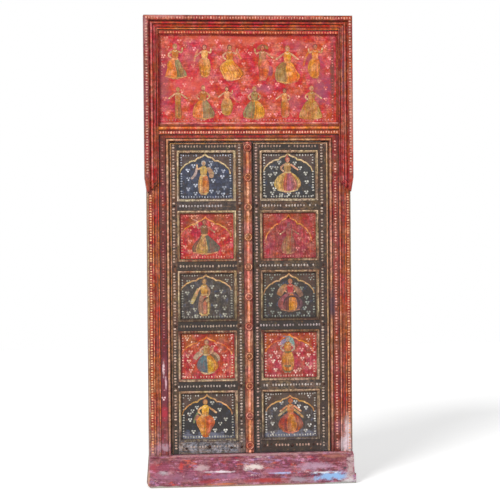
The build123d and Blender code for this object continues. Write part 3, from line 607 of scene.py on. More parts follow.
def dark_leaf(pieces, name, along, browns, foot, seed):
    ground = patched(bleached(by_height(browns), foot, 150, 270, 0.06, 0.22, 0.8), worn_patches)
    paint_pieces(pieces, name, ground, along, fade=0.55, soil=0.7, bare=0.3, stops=0.016,
                 faded=(140, 106, 72), grime=(40, 28, 22), seed=seed)


for number, side in enumerate(sides):
    for edge in ("hinge", "meeting"):
        dark_leaf(f"{side}_{edge}_stile", f"{side} {edge} stile paint", upright, stile_browns[side],
                  stile_foot[f"{side}_{edge}"], 31.0 + number)
    rails = " ".join(f"{side}_{place}_rail" for place in (
        "bottom", "lower", "lower_middle", "upper_middle", "upper", "top"))
    dark_leaf(rails, f"{side} rail paint", level, rail_browns[side], rail_foot[side], 33.0 + number)


# Ten panels, loose in the grooves of the leaves: dark slate or brown and crimson by turns from the top down,
# with painted shadow along the top and the left edge under the mouldings, and bleached along the foot of the
# lowest.
panel_face = 1
panel_places = ("top", "upper", "middle", "lower", "bottom")
crimson_panels = (1, 3)
grounds = {
    "left": [(46, 54, 76), (178, 42, 40), (72, 60, 46), (166, 48, 40), (18, 12, 8)],
    "right": [(46, 42, 38), (134, 48, 52), (48, 34, 22), (152, 56, 58), (68, 56, 46)]}
ground_patches = {
    False: [((26, 20, 18), 0.49, 24, 0.65), ((58, 76, 110), 0.57, 30, 0.55), ((112, 80, 54), 0.6, 16, 0.6),
        ((88, 106, 100), 0.62, 14, 0.5)],
    True: [((146, 44, 58), 0.54, 22, 0.5), ((214, 84, 50), 0.57, 26, 0.5), ((214, 130, 128), 0.62, 12, 0.5),
        ((110, 40, 34), 0.6, 16, 0.5)]}
panel_middle = {"left": -195, "right": 183}
panel_foot = [1302.6, 1030.2, 757.8, 485.4, 213.0]
for side in sides:
    for number, place in enumerate(panel_places):
        middle, foot = panel_middle[side], panel_foot[number]
        red = number in crimson_panels
        faded, grime = ((222, 96, 96), (110, 36, 34)) if red else ((104, 102, 118), (40, 34, 34))
        recess_shadow = (60, 18, 18) if red else (14, 11, 10)
        # Painted shadow: a dark band along the top of each panel and another down its left edge, where the
        # mouldings shade it.
        marks = [(recess_shadow, middle, foot + 211, 160, 11, 0.85, 0.3),
                 (recess_shadow, middle - 124, foot + 110, 8, 150, 0.7, 0.4)]
        if place == "bottom":
            marks.append(((124, 126, 146), middle, foot - 4, 170, 40, 0.6, 1.3))
        paint_pieces(f"{side}_{place}_panel", f"{side} {place} panel ground",
                     patched(grounds[side][number], ground_patches[red]), upright, fade=0.45, soil=0.5,
                     bare=0.22, stops=0.006, faded=faded, grime=grime, marks=smears(panel_face, 5, marks),
                     seed=41.0 + number * 2.3 + (side == "right") * 0.9)


# Mitred mouldings round the panels, pinned on, and half-round beads on the leaves' edges. Gilt-coloured ochre
# over red, with the paint of the left bead gone near the floor.
gilt_stops = [
    (200, (58, 54, 72)), (300, (164, 135, 108)), (427, (186, 143, 116)), (479, (188, 147, 126)),
    (600, (168, 133, 102)), (700, (116, 42, 14)), (752, (66, 36, 16)), (860, (167, 133, 100)),
    (972, (164, 117, 87)), (1024, (145, 76, 58)), (1130, (177, 143, 106)), (1245, (194, 153, 123)),
    (1296, (196, 175, 153)), (1400, (180, 144, 107)), (1517, (215, 176, 146))]
# Their slanting faces get strong painted shade, so the flat top of each moulding stands out between darkened
# sides.
for side, fade, soil in (("left", 0.66, 0.55), ("right", 0.45, 0.8)):
    paint_pieces(f"{side}_panel_mouldings", f"ochre moulding of the {side} panels", by_height(gilt_stops),
                 upright, fade=fade, soil=soil, bare=0.3, stops=0.005, faded=(226, 204, 160),
                 grime=(84, 56, 36), seed=61.0, crease=0.9)
bead_stops = [(150, (66, 48, 40)), (540, (84, 60, 46)), (640, (184, 126, 84)), (1600, (188, 130, 88))]
paint_pieces("left_edge_beads", "left edge bead paint", by_height(bead_stops), upright, fade=0.5, soil=0.6,
             bare=0.35, faded=(196, 146, 112), grime=(84, 56, 42), seed=62.0)
paint_pieces("right_edge_beads", "right edge bead paint", (198, 154, 114), upright, fade=0.5, soil=0.5,
             bare=0.3, faded=(200, 160, 126), grime=(96, 66, 50), seed=63.0)


# The strip beside the joint of the leaves, nailed to the left one: a peach ridge between darker flanks, with
# eleven turned rosettes down its middle, which are modelled finer here than in the CAD.
strip_stripes = [
    (-30, (66, 20, 14)), (-26, (108, 43, 34)), (-14.5, (219, 120, 91)), (-10, (237, 146, 119)),
    (-4, (219, 120, 91)), (-0.5, (126, 45, 28)), (9, (67, 16, 8)), (15, (67, 16, 8))]


def rightward(tree):
    return one_of(tree, "X")


paint_pieces("centre_strip", "centre strip paint", striped(strip_stripes, rightward), upright, fade=0.4,
             soil=0.4, bare=0.25, stops=-0.008, faded=(244, 176, 146), grime=(120, 60, 48), seed=65.0)


def tone_of(tree):
    """The colour that was given to each face."""
    return fit(tree, "VertexColor", {"layer_name": "tone"}, {}).outputs["Color"]


def shape_piece(name, shape, material, body, smooth=True):
    """Makes the object of a shape of points in mm, faces and one colour a face."""
    points, faces, tones = shape
    mesh = bpy.data.meshes.new(name)
    mesh.from_pydata([(x / 1000, y / 1000, z / 1000) for x, y, z in points], [], faces)
    colours = mesh.color_attributes.new("tone", "FLOAT_COLOR", "CORNER")
    for polygon, tone in zip(mesh.polygons, tones):
        polygon.use_smooth = smooth
        for corner in polygon.loop_indices:
            colours.data[corner].color = tone
    mesh.materials.append(material)
    mesh.update()
    piece = bpy.data.objects.new(name, mesh)
    bpy.context.scene.collection.objects.link(piece)
    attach(piece, body)
    return piece


def turned_rings(shape, x, z, rings, sides, wobble=0.0):
    """A turned or hammered form that looks to the front. rings are (radius, y, shade), outermost first."""
    points, faces, tones = shape
    first = len(points)
    for radius, y, tone in rings[:-1]:
        for k in range(sides):
            angle = k * 2 * math.pi / sides
            reach = radius * (1 + wobble * math.sin(5.3 * k + x))
            points.append((x + reach * math.cos(angle), y, z + reach * math.sin(angle)))
    points.append((x, rings[-1][1], z))
    for step in range(len(rings) - 1):
        for k in range(sides):
            near, after = first + step * sides + k, first + step * sides + (k + 1) % sides
            last = step == len(rings) - 2
            outer = (near, after)
            faces.append((*outer, len(points) - 1) if last else (*outer, after + sides, near + sides))
            tones.append(shade(*rings[step][2]))


rosette_rings = [
    (19.0, -15.0, (120, 48, 34)), (19.0, -25.0, (190, 96, 70)), (17.8, -26.6, (84, 34, 24)),
    (16.4, -26.8, (206, 110, 80)), (16.0, -30.4, (246, 166, 132)), (14.6, -32.6, (246, 166, 132)),
    (13.0, -32.2, (150, 66, 46)), (11.4, -28.6, (78, 32, 22)), (10.4, -28.2, (146, 66, 44)),
    (6.2, -28.8, (96, 42, 30)), (5.6, -30.0, (170, 92, 62)), (3.8, -32.0, (196, 116, 84)),
    (1.6, -32.8, (196, 116, 84)), (0.0, -33.0, None)]
rosette_middle, rosette_first, rosette_pitch = -7.5, 180.0, 135.3
rosettes = ([], [], [])
for number in range(11):
    turned_rings(rosettes, rosette_middle, rosette_first + number * rosette_pitch, rosette_rings, 30)
rosette_paint = painted("rosette paint", tone_of, upright, fade=0.25, soil=0.5, bare=0.2,
                        faded=(238, 160, 128), grime=(110, 50, 36), seed=66.0, crease=0.3)
bosses = shape_piece("turned_rosettes", rosettes, rosette_paint, "left_leaf")
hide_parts("strip_rosettes")


# Hand-forged nails through the tenons and along the bottom rails, driven from the front: square-cut heads
# beaten to a low dome, nearly black, with rust.
leaf_face = -13
nail_rings = ((1.0, -0.5), (1.0, 0.6), (0.86, 1.7), (0.5, 2.8), (0.0, 3.2))


def forged_head(shape, x, z, radius):
    rings = [(radius * share, leaf_face - rise, (90, 60, 44)) for share, rise in nail_rings]
    turned_rings(shape, x, z, rings, 8, 0.08)


joint_heights = (452.4, 724.8, 997.2, 1269.6)
nails = {
    "left": [(-191, 176, 8.5), (-92, 171, 6), (-296, 171, 6), (-44, 174, 6.5), (-47, 303, 5.5)],
    "right": [(188, 176, 8.5), (60, 176, 6), (92, 182, 5), (285, 178, 6), (42, 300, 5.5), (336, 308, 5)]}
stile_middles = {"left": (-341, -46), "right": (36, 337)}
for side in sides:
    heads = ([], [], [])
    for x, z, radius in nails[side] + [(x, z, 5.5) for x in stile_middles[side] for z in joint_heights]:
        forged_head(heads, x, z, radius)
    shape_piece(f"{side}_leaf_nails", heads, iron, f"{side}_leaf")


# The dots: every flat is sprigged with dabs of pale distemper, put on one at a time with a round brush. Many
# have faded or gone, most of all on the left lining.
dab_rng = random.Random(7)


def dab(shape, x, y, z, radius, tone, height=0.9, spread=(1.0, 1.0)):
    """One dab: a low irregular dome on a face that looks to the front, longer one way. Sizes in mm."""
    points, faces, tones = shape
    first, sides = len(points), 7
    turn = dab_rng.random() * 6.28
    for share, rise in ((1.0, 0.02), (0.66, 0.72)):
        for k in range(sides):
            reach = radius * share * dab_rng.uniform(0.9, 1.1)
            angle = turn + k * 2 * math.pi / sides
            points.append((x + reach * spread[0] * math.cos(angle), y - height * rise,
                           z + reach * spread[1] * math.sin(angle)))
    points.append((x, y - height, z))
    for k in range(sides):
        after = (k + 1) % sides
        faces.append((first + k, first + after, first + sides + after, first + sides + k))
        faces.append((first + sides + k, first + sides + after, first + 2 * sides))
        tones.extend([tone, tone])


def varied(tone, spread=14):
    """A shade a little lighter or darker than the one given."""
    by = dab_rng.uniform(-spread, spread)
    return shade(*(min(255, max(0, part + by)) for part in tone))


def line_of_dabs(shape, start, end, y, pitch, radius, tone, lost=0.08, keep=None):
    """Dabs from start to end, (x, z) in mm, about a pitch apart. Some are lost, none is quite in line."""
    length = math.hypot(end[0] - start[0], end[1] - start[1])
    count = max(1, round(length / pitch))
    level_line = abs(end[0] - start[0]) > abs(end[1] - start[1])
    for k in range(count + 1):
        share = k / count
        x = start[0] + (end[0] - start[0]) * share + dab_rng.uniform(-0.8, 0.8)
        z = start[1] + (end[1] - start[1]) * share + dab_rng.uniform(-0.8, 0.8)
        size = radius * dab_rng.uniform(0.82, 1.12)
        if dab_rng.random() < lost or (keep and not keep(x, z)):
            continue
        dab(shape, x, y, z, size, varied(tone, 22), spread=(0.84, 1.18) if level_line else (1.18, 0.84))


def dab_paint():
    """Chalky distemper in the colour of each dab, rubbed and dirty."""
    material, tree, shader = new_material("dabbed distemper")
    tone = tone_of(tree)
    rub = cloud(tree, here(tree), 0.012, 6.0, 0.7)
    dirt = ease(tree, rub, 0.56, 0.38, 0.0, 0.6)
    dull = blend(tree, 1.0, tone, shade(168, 138, 124), "MULTIPLY")
    tree.links.new(blend(tree, dirt, tone, dull), shader.inputs["Base Color"])
    tree.links.new(ease(tree, rub, 0.3, 0.7, 0.6, 0.85), shader.inputs["Roughness"])
    relief(tree, shader, cloud(tree, here(tree), 0.0016, 3.0, 0.6), 0.0003, 1.0)
    return material


distemper = dab_paint()
head_fillet_face, transom_face = -28, -35
band_dabs, post_dabs, lining_dabs, head_dabs = [([], [], []) for _ in range(4)]
for side, post_tone in ((-1, (236, 176, 128)), (1, (226, 160, 122))):
    x = side * 463
    line_of_dabs(band_dabs, (x, 1420), (x, 2104), band_face, 12.4, 4.4, (222, 164, 146), 0.04)
    x = side * 450
    line_of_dabs(post_dabs, (x, 160), (x, 1318), post_face, 11.8, 4.3, post_tone, 0.04)
for x, low, high, size, tone, lost in (
        (-394, 700, 1560, 3.8, (190, 120, 108), 0.15), (-394, 162, 690, 3.6, (176, 96, 110), 0.6),
        (394, 162, 1560, 4.2, (226, 156, 140), 0.08)):
    line_of_dabs(lining_dabs, (x, low), (x, high), lining_face, 12.6, size, tone, lost)
for across_by, up_by in ((-5.4, 3.2), (5.4, 3.2), (0.0, -5.4)):
    dab(lining_dabs, -398 + across_by, lining_face, 402 + up_by, 4.6, varied((240, 196, 200)))
line_of_dabs(band_dabs, (-463, 2118), (463, 2118), band_face, 12.6, 4.6, (228, 154, 132), 0.05)
line_of_dabs(head_dabs, (-402, 2053), (402, 2053), head_fillet_face, 12.6, 4.1, (234, 138, 98), 0.05)
line_of_dabs(head_dabs, (-402, 1602), (402, 1602), transom_face, 12.2, 4.6, (246, 172, 142), 0.04)
for name, dabs, slot in (
        ("outer_band_dots", band_dabs, "red_paint"), ("post_dots", post_dabs, "red_paint"),
        ("lining_dots", lining_dabs, "red_paint"), ("head_and_transom_dots", head_dabs, "orange_paint")):
    shape_piece(name, dabs, distemper, "frame")

rail_heights = (178, *joint_heights, 1539.5)
stile_bone = {"left": [(192, 162, 144), (184, 166, 154)], "right": [(184, 164, 148), (194, 160, 150)]}
rail_bone = {
    "left": [(184, 168, 160), (174, 158, 148), (164, 142, 126), (174, 150, 132), (186, 176, 176),
        (164, 138, 120)],
    "right": [(190, 154, 138), (192, 178, 170), (170, 154, 154), (192, 178, 170), (192, 176, 168),
        (166, 138, 122)]}
rail_spans = {"left": (-328, -62), "right": (48, 318)}
stile_dots = {"left": (-344, -44), "right": (333, 32)}


def clear_of_nails(side):
    """A test for one leaf: whether a dab at (x, z) would miss the nails and the tenon joints."""
    start, end = rail_spans[side]

    def keep(x, z):
        at_joint = any(abs(z - height) < 10 for height in joint_heights) and not start < x < end
        return not at_joint and all(math.hypot(x - u, z - v) > r + 5 for u, v, r in nails[side])
    return keep


for side in sides:
    leaf_dabs, keep, (start, end) = ([], [], []), clear_of_nails(side), rail_spans[side]
    for x, tone in zip(stile_dots[side], stile_bone[side]):
        line_of_dabs(leaf_dabs, (x, 172), (x, 1546), leaf_face, 13.2, 4.9, tone, 0.06, keep)
    for z, tone in zip(rail_heights, rail_bone[side]):
        line_of_dabs(leaf_dabs, (start, z), (end, z), leaf_face, 13.4, 4.9, tone, 0.1, keep)
    shape_piece(f"{side}_leaf_dots", leaf_dabs, distemper, f"{side}_leaf")


# The pictures: on every panel a dancer or player under a cusped arch. They are quick work in thick tempera,
# one coat over another, with sprigs of three pale dabs between.
def smooth(points, closed=True, rounds=2):
    """Rounds off the corners of a line or outline, as a loaded brush does."""
    for _ in range(rounds):
        cut = [] if closed else [points[0]]
        for k in range(len(points) if closed else len(points) - 1):
            (x, z), (u, v) = points[k], points[(k + 1) % len(points)]
            cut += [(0.75 * x + 0.25 * u, 0.75 * z + 0.25 * v), (0.25 * x + 0.75 * u, 0.25 * z + 0.75 * v)]
        points = cut if closed else cut + [points[-1]]
    return points


def turned(a, b, c):
    """Twice the area of a triangle of (x, z) points, above 0 if they run against the clock."""
    return (b[0] - a[0]) * (c[1] - a[1]) - (b[1] - a[1]) * (c[0] - a[0])


def daub(shape, outline, y, tone, coat, rounds=2, rim=0.45):
    """A patch of thick paint with a sloping edge, on a face that looks to the front. coat says how many coats
    lie under it."""
    tone = shade(*tone)
    outline = smooth(outline, rounds=rounds)
    if sum(turned((0, 0), a, b) for a, b in zip(outline, outline[1:] + outline[:1])) < 0:
        outline = outline[::-1]
    points, faces, tones = shape
    first, count, rise = len(points), len(outline), 0.25 + 0.15 * coat
    for k, (x, z) in enumerate(outline):
        (u, v), (s, t) = outline[k - 1], outline[(k + 1) % count]
        length = math.hypot(s - u, t - v) or 1.0
        points.append((x, y - rise, z))
        points.append((x + rim * (t - v) / length, y, z - rim * (s - u) / length))
    for corners in tessellate_polygon([[Vector((x, z, 0)) for x, z in outline]]):
        if turned(*(outline[k] for k in corners)) < 0:
            corners = corners[::-1]
        faces.append(tuple(first + 2 * k for k in corners))
        tones.append(tone)
    for k in range(count):
        after = (k + 1) % count
        faces.append((first + 2 * k + 1, first + 2 * after + 1, first + 2 * after, first + 2 * k))
        tones.append(tone if rim < 1 else darker(tone, 0.3))


def stroke(shape, path, width, y, tone, coat, rounds=2, taper=0.6):
    """One stroke of a round brush along a path, thinner at its ends."""
    path = smooth(path, False, rounds)
    left, right = [], []
    for k, (x, z) in enumerate(path):
        (u, v), (s, t) = path[max(0, k - 1)], path[min(len(path) - 1, k + 1)]
        length = math.hypot(s - u, t - v) or 1.0
        half = width / 2 * (1 - taper * abs(2 * k / (len(path) - 1) - 1) ** 3)
        left.append((x - half * (t - v) / length, z + half * (s - u) / length))
        right.append((x + half * (t - v) / length, z - half * (s - u) / length))
    daub(shape, right + left[::-1], y, tone, coat, 0)


def oval(x, z, across, high, sides=9):
    angles = [k * 2 * math.pi / sides for k in range(sides)]
    return [(x + across * math.cos(angle), z + high * math.sin(angle)) for angle in angles]


def darker(tone, by):
    return tuple(part * by for part in tone)


necklace, bangle = (236, 214, 170), (232, 208, 160)


def dancer(shape, y, x, foot, tall, skirt, wide, bodice, arms=(), veil=(), turn=1, hair=(74, 48, 44),
           skin=(206, 150, 112), hem=(214, 176, 120), extras=()):
    """A dancer seen from the front. skirt is (shade, the share of the width at which it ends), from the left.
    wide is the skirt's half widths from the waist to the hem, or a pair of such rows, left and right. They,
    and the paths and widths of the veil, arms and extras, are in hundredths of the dancer's height."""
    left_wide, right_wide = wide if isinstance(wide[0], tuple) else (wide, wide)

    def at(path):
        return [(x + turn * across / 100 * tall, foot + up / 100 * tall) for across, up in path]

    def seam(share):
        path = []
        for k, (left, right) in enumerate(zip(left_wide, right_wide)):
            down = k / (len(left_wide) - 1)
            dip = 5 * down * (1 - (2 * share - 1) ** 2)
            path.append((-left + (left + right) * share, 57 - 48 * down - dip))
        return path

    def lay(outline, tone, coat, rounds=2, rim=0.45):
        daub(shape, outline, y, tone, coat, rounds, rim)

    def draw(path, width, tone, coat, rounds=2, taper=0.6):
        stroke(shape, path, width * tall, y, tone, coat, rounds, taper)

    for number, (tone, width, path) in enumerate(veil):
        draw(at(path), width / 100, tone, 0.7 + 0.4 * number, taper=0.5)
    for side in (-1, 1):
        shoe = oval(x + side * 0.05 * tall, foot + 0.025 * tall, 0.045 * tall, 0.022 * tall)
        lay(shoe, darker(skin, 0.9), 1)
    start = 0
    for tone, end in skirt:
        inner = [seam(start + (end - start) * k / 3)[-1] for k in (1, 2)]
        lay(at(seam(start) + inner + seam(end)[::-1]), tone, 2, 1, 1.6)
        for k in (1, 2, 3):
            share = start + (end - start) * (k - 0.5) / 3
            draw(at(seam(share)[1:]), 0.014, darker(tone, 0.74 if k % 2 else 1.16), 3)
        start = end
    draw(at([seam(k / 8)[-1] for k in range(9)]), 0.034, hem, 4, 1, 0.2)
    draw(at([(-9, 57), (0, 55.5), (9, 57)]), 0.045, hem, 4, 1, 0.3)
    lay(at([(-7.5, 57), (7.5, 57), (9.5, 70), (8.5, 80), (3, 83), (-3, 83), (-8.5, 80), (-9.5, 70)]), bodice,
        3, 2, 1.6)
    draw(at([(-5, 80), (0, 75.5), (5, 80)]), 0.014, necklace, 4, 1)
    for path in arms:
        draw(at(path), 0.05, skin, 4, 1, 0.35)
        wrist = [path[-2][k] * 0.3 + path[-1][k] * 0.7 for k in (0, 1)]
        lay(oval(*at([wrist])[0], 0.024 * tall, 0.016 * tall), bangle, 5, 1)
    (cx, cz), = at([(0, 90.5)])
    lay(oval(cx, cz + 0.008 * tall, 0.068 * tall, 0.078 * tall), hair, 4)
    lay(oval(cx + turn * 0.006 * tall, cz - 0.006 * tall, 0.047 * tall, 0.060 * tall), skin, 5)
    nose = cx + turn * 0.008 * tall
    for side in (-1, 1):
        lay(oval(nose + side * 0.018 * tall, cz, 0.0085 * tall, 0.0045 * tall, 6), (48, 34, 32), 6, 1)
    draw([(nose, cz), (cx + turn * 0.010 * tall, cz - 0.02 * tall)], 0.006, darker(skin, 0.8), 6, 1)
    mouth = cz - 0.033 * tall
    draw([(cx - 0.008 * tall, mouth), (cx + 0.02 * tall, mouth)], 0.008, (150, 60, 52), 6, 1)
    for tone, width, path in extras:
        draw(at(path), width / 100, tone, 6, 1)


def sprig(shape, x, z, y, tone, size=4.9):
    """Three dabs in a triangle, the shape of a small flower."""
    for across, up in ((-0.95, 0.55), (0.95, 0.55), (0.0, -0.95)):
        dab(shape, x + across * size * 1.15, y, z + up * size * 1.15, size * dab_rng.uniform(0.8, 1.05),
            varied(tone, 26), 0.6)


arch_half = [(0.0, 1.0), (0.06, 0.84), (0.20, 0.79), (0.34, 0.76), (0.39, 0.60), (0.57, 0.63), (0.67, 0.47),
             (0.80, 0.43), (0.88, 0.25), (0.99, 0.18), (1.02, -0.12)]


def arch_line(middle, spring, apex, half):
    """A cusped arch from its left springing to its right one. Odd points pull the line, even are cusps."""
    line = []
    mirrored = [(-u, v) for u, v in arch_half[::-1]] + arch_half[1:]
    places = [(middle + u * half, spring + v * (apex - spring)) for u, v in mirrored]
    for k in range(0, len(places) - 2, 2):
        (x0, z0), (x1, z1), (x2, z2) = places[k:k + 3]
        for step in range(5):
            t = step / 5
            line.append(((1 - t) ** 2 * x0 + 2 * t * (1 - t) * x1 + t * t * x2,
                         (1 - t) ** 2 * z0 + 2 * t * (1 - t) * z1 + t * t * z2))
    return line + [places[-1]]


gold, ochre, orange, rose = (214, 164, 92), (186, 146, 84), (214, 130, 62), (182, 98, 112)
olive, leaf_green, teal = (124, 116, 72), (78, 96, 78), (66, 108, 112)
slim = (10, 13, 15, 15, 13)
full = (9, 27, 35, 37, 28)
left_up = [(-9, 78), (-18, 72), (-19, 88)]
right_up = [(9, 78), (19, 73), (21, 89)]
left_hip = [(-9, 78), (-20, 68), (-10, 58)]
right_hip = [(9, 78), (20, 68), (10, 58)]
left_out = [(-9, 78), (-20, 69), (-30, 62)]
right_out = [(9, 78), (20, 69), (30, 62)]
leaf_dancers = {
    "left top": dict(x=-206, foot=1318, tall=160, skirt=[(gold, 0.4), ((206, 128, 66), 1)], wide=slim,
        bodice=gold, arms=[left_up, right_out], hair=(196, 188, 178), skin=(214, 166, 128),
        veil=[((186, 160, 152), 7, [(-19, 80), (-22, 62), (-31, 50), (-36, 48)]),
        ((206, 160, 122), 13, [(12, 78), (24, 62), (20, 50)])]),
    "right top": dict(x=178, foot=1326, tall=168, skirt=[(gold, 0.34), ((204, 122, 92), 0.48), (rose, 0.72),
        ((196, 104, 84), 0.86), (gold, 1)], wide=full, bodice=(190, 150, 88), arms=[left_hip, right_out],
        hair=(196, 104, 84), hem=(222, 188, 132), skin=(218, 158, 124),
        extras=[((206, 110, 90), 5, [(0, 97), (-0.5, 103)])]),
    "left upper": dict(x=-205, foot=1046, tall=166, skirt=[((116, 84, 60), 0.12), (ochre, 0.56),
        (leaf_green, 1)], wide=((6, 15, 26, 34, 31), (6, 20, 33, 44, 36)), bodice=(118, 94, 62),
        arms=[left_up, right_out], hair=(112, 60, 56), hem=(222, 158, 112), skin=(196, 132, 104),
        extras=[((222, 150, 132), 3.5, [(-16, 90), (-25, 97), (-33, 98)])]),
    "right upper": dict(x=184, foot=1044, tall=150, skirt=[((158, 104, 80), 0.3), ((172, 122, 82), 0.7),
        ((150, 92, 82), 1)], wide=((10, 18, 22, 24, 22), (10, 16, 18, 18, 16)), bodice=(150, 104, 84),
        arms=[left_out, right_out], hair=(124, 84, 84), hem=(176, 124, 92), skin=(160, 104, 88)),
    "left middle": dict(x=-208, foot=768, tall=176, skirt=[((164, 122, 92), 0.4), ((190, 110, 80), 0.75),
        (ochre, 1)], wide=slim, bodice=(204, 148, 78), arms=[[(-9, 76), (-17, 66), (-24, 52)],
        [(9, 76), (15, 62), (5, 48)]], hair=(150, 108, 78), skin=(206, 154, 112),
        veil=[((186, 160, 102), 9, [(-15, 72), (-22, 56), (-30, 40), (-33, 34)])],
        extras=[((56, 42, 36), 3.5, [(-2, 38), (1, 47), (10, 49)]), ((188, 160, 120), 7, [(3, 41), (11, 42)]),
        ((52, 40, 36), 4.5, [(12, 39), (24, 40)])]),
    "right middle": dict(x=186, foot=782, tall=156, skirt=[((146, 72, 74), 0.3), ((108, 50, 46), 0.44),
        (orange, 0.78), ((112, 74, 80), 1)], wide=full, bodice=(196, 88, 72), arms=[left_hip, right_hip],
        hair=(186, 128, 74), hem=(176, 116, 96), skin=(204, 132, 100),
        veil=[((176, 128, 80), 19, [(-8, 78), (-24, 68), (-34, 50)]),
        ((150, 100, 82), 16, [(8, 76), (24, 64), (34, 46)])], extras=[((72, 40, 36), 5,
        [(-20, 22), (-14, 42), (8, 49), (26, 38), (27, 18)])]),
    "left lower": dict(x=-200, foot=502, tall=164, skirt=[(teal, 0.5), ((220, 164, 74), 0.8), (orange, 1)],
        wide=((8, 20, 26, 27, 16), (8, 22, 31, 33, 22)), bodice=(170, 140, 74), arms=[left_hip, right_hip],
        hair=(150, 104, 84), hem=(206, 176, 134), skin=(210, 154, 118),
        veil=[((180, 162, 132), 13, [(-8, 66), (-26, 56), (-33, 44)]),
        ((176, 150, 118), 12, [(10, 66), (30, 52), (32, 40)]), ((92, 96, 62), 10,
        [(12, 60), (24, 48), (29, 36)])]),
    "right lower": dict(x=172, foot=504, tall=172, skirt=[((206, 134, 66), 0.45), ((214, 158, 82), 1)],
        wide=(11, 15, 17, 16, 13), bodice=(204, 138, 74), arms=[left_hip, right_hip], hair=(136, 164, 172),
        hem=(112, 112, 66), skin=(186, 168, 148), veil=[((150, 156, 184), 13,
        [(-4, 98), (-12, 84), (-14, 74)]), ((122, 168, 156), 12, [(4, 98), (13, 82), (12, 72)])],
        extras=[((92, 108, 66), 6, [(-10, 20), (0, 18), (9, 20)])]),
    "left bottom": dict(x=-208, foot=220, tall=176, skirt=[((212, 134, 56), 0.5), ((204, 106, 46), 1)],
        wide=((13, 23, 23, 15, 11), (13, 24, 24, 15, 11)), bodice=(236, 168, 70), arms=[left_hip, right_out],
        hair=(150, 90, 66), hem=(196, 150, 84), skin=(218, 150, 104),
        veil=[((112, 118, 74), 6, [(-14, 70), (-26, 52), (-30, 36)]),
        ((176, 116, 88), 7, [(-18, 58), (-26, 44)])], extras=[((196, 92, 44), 7, [(-8, 5), (0, 2), (8, 5)])]),
    "right bottom": dict(x=183, foot=226, tall=166, skirt=[((176, 80, 52), 0.34), ((212, 128, 56), 0.74),
        ((168, 80, 56), 1)], wide=((10, 26, 33, 34, 22), (10, 26, 33, 36, 22)), bodice=(190, 108, 58),
        arms=[left_out, right_out], hair=(206, 116, 74), hem=(214, 116, 88), skin=(218, 138, 98),
        veil=[((190, 150, 96), 6, [(6, 70), (24, 56), (36, 44)]),
        ((184, 156, 110), 6, [(-6, 70), (-22, 60), (-34, 50)])]),
}
sprig_places = {
    "left top": [(-277, 1432), (-275, 1393), (-276, 1347), (-243, 1327), (-243, 1364), (-171, 1467),
        (-176, 1452), (-146, 1437), (-151, 1424), (-162, 1384), (-121, 1402), (-112, 1352), (-140, 1332),
        (-171, 1336), (-116, 1428), (-252, 1452), (-118, 1322)],
    "right top": [(105, 1443), (128, 1441), (98, 1408), (122, 1416), (107, 1370), (108, 1326), (148, 1318),
        (184, 1322), (225, 1322), (264, 1330), (266, 1376), (262, 1416), (140, 1466), (212, 1462),
        (236, 1440), (118, 1345)],
    "left upper": [(-272, 1158), (-272, 1064), (-290, 1222), (-262, 1221), (-238, 1222), (-150, 1052),
        (-118, 1062), (-144, 1162), (-270, 1110), (-96, 1088), (-140, 1112), (-166, 1186), (-120, 1120),
        (-250, 1180), (-100, 1222), (-92, 1190), (-292, 1085), (-240, 1044)],
    "right upper": [(100, 1160), (106, 1124), (80, 1100), (105, 1060), (134, 1150), (130, 1068), (232, 1118),
        (222, 1072), (266, 1150), (278, 1120), (250, 1062), (90, 1222), (284, 1210), (262, 1092)],
    "left middle": [(-280, 928), (-262, 905), (-285, 875), (-250, 800), (-280, 785), (-172, 903), (-130, 882),
        (-115, 856), (-158, 815), (-152, 790), (-116, 805), (-115, 775), (-222, 796), (-208, 780),
        (-245, 770), (-150, 860), (-104, 932), (-270, 835)],
    "right middle": [(100, 938), (105, 888), (98, 862), (104, 784), (140, 905), (136, 778), (262, 848),
        (265, 825), (252, 800), (280, 936), (215, 910), (240, 892), (95, 820), (222, 776), (270, 780)],
    "left lower": [(-272, 608), (-280, 566), (-272, 524), (-262, 650), (-140, 614), (-118, 586), (-114, 545),
        (-120, 520), (-155, 645), (-240, 645), (-262, 545), (-288, 668), (-92, 662), (-285, 590),
        (-170, 630)],
    "right lower": [(98, 655), (134, 641), (116, 600), (105, 560), (136, 556), (116, 520), (236, 612),
        (240, 570), (262, 545), (275, 530), (226, 520), (208, 512), (270, 585), (268, 655), (262, 630),
        (95, 584), (222, 590), (128, 580), (285, 612)],
    "left bottom": [(-266, 340), (-262, 246), (-164, 250), (-142, 344), (-176, 375), (-165, 305), (-115, 300),
        (-116, 248), (-277, 300), (-246, 356), (-280, 325), (-140, 280), (-280, 395)],
    "right bottom": [(142, 369), (112, 340), (100, 275), (100, 232), (270, 265), (266, 306), (255, 345),
        (206, 372), (90, 305), (252, 240), (84, 390), (270, 396), (222, 352)]}
arches = {
    "left top": (1425, 1507, 113),
    "right top": (1432, 1508, 110),
    "left upper": (1138, 1220, 113),
    "right upper": (1120, 1228, 104),
    "left middle": (893, 957, 112),
    "right middle": (874, 960, 114),
    "left lower": (602, 676, 112),
    "right lower": (606, 682, 108),
    "left bottom": (330, 413, 112),
    "right bottom": (336, 402, 108)}
arch_tones = ((226, 190, 140), (220, 134, 72), (206, 160, 112), (222, 124, 62), (206, 150, 92))
spandrel_tones = ((84, 62, 54), (156, 60, 36), (76, 52, 38), (166, 70, 34), (78, 56, 42))
sprig_tones = {
    "left": [(200, 206, 220), (240, 150, 128), (180, 176, 160), (252, 190, 168), (210, 206, 194)],
    "right": [(220, 216, 204), (206, 122, 112), (150, 154, 142), (255, 200, 186), (214, 208, 200)]}
arch_shift = {"left": -4.5, "right": -2.5}


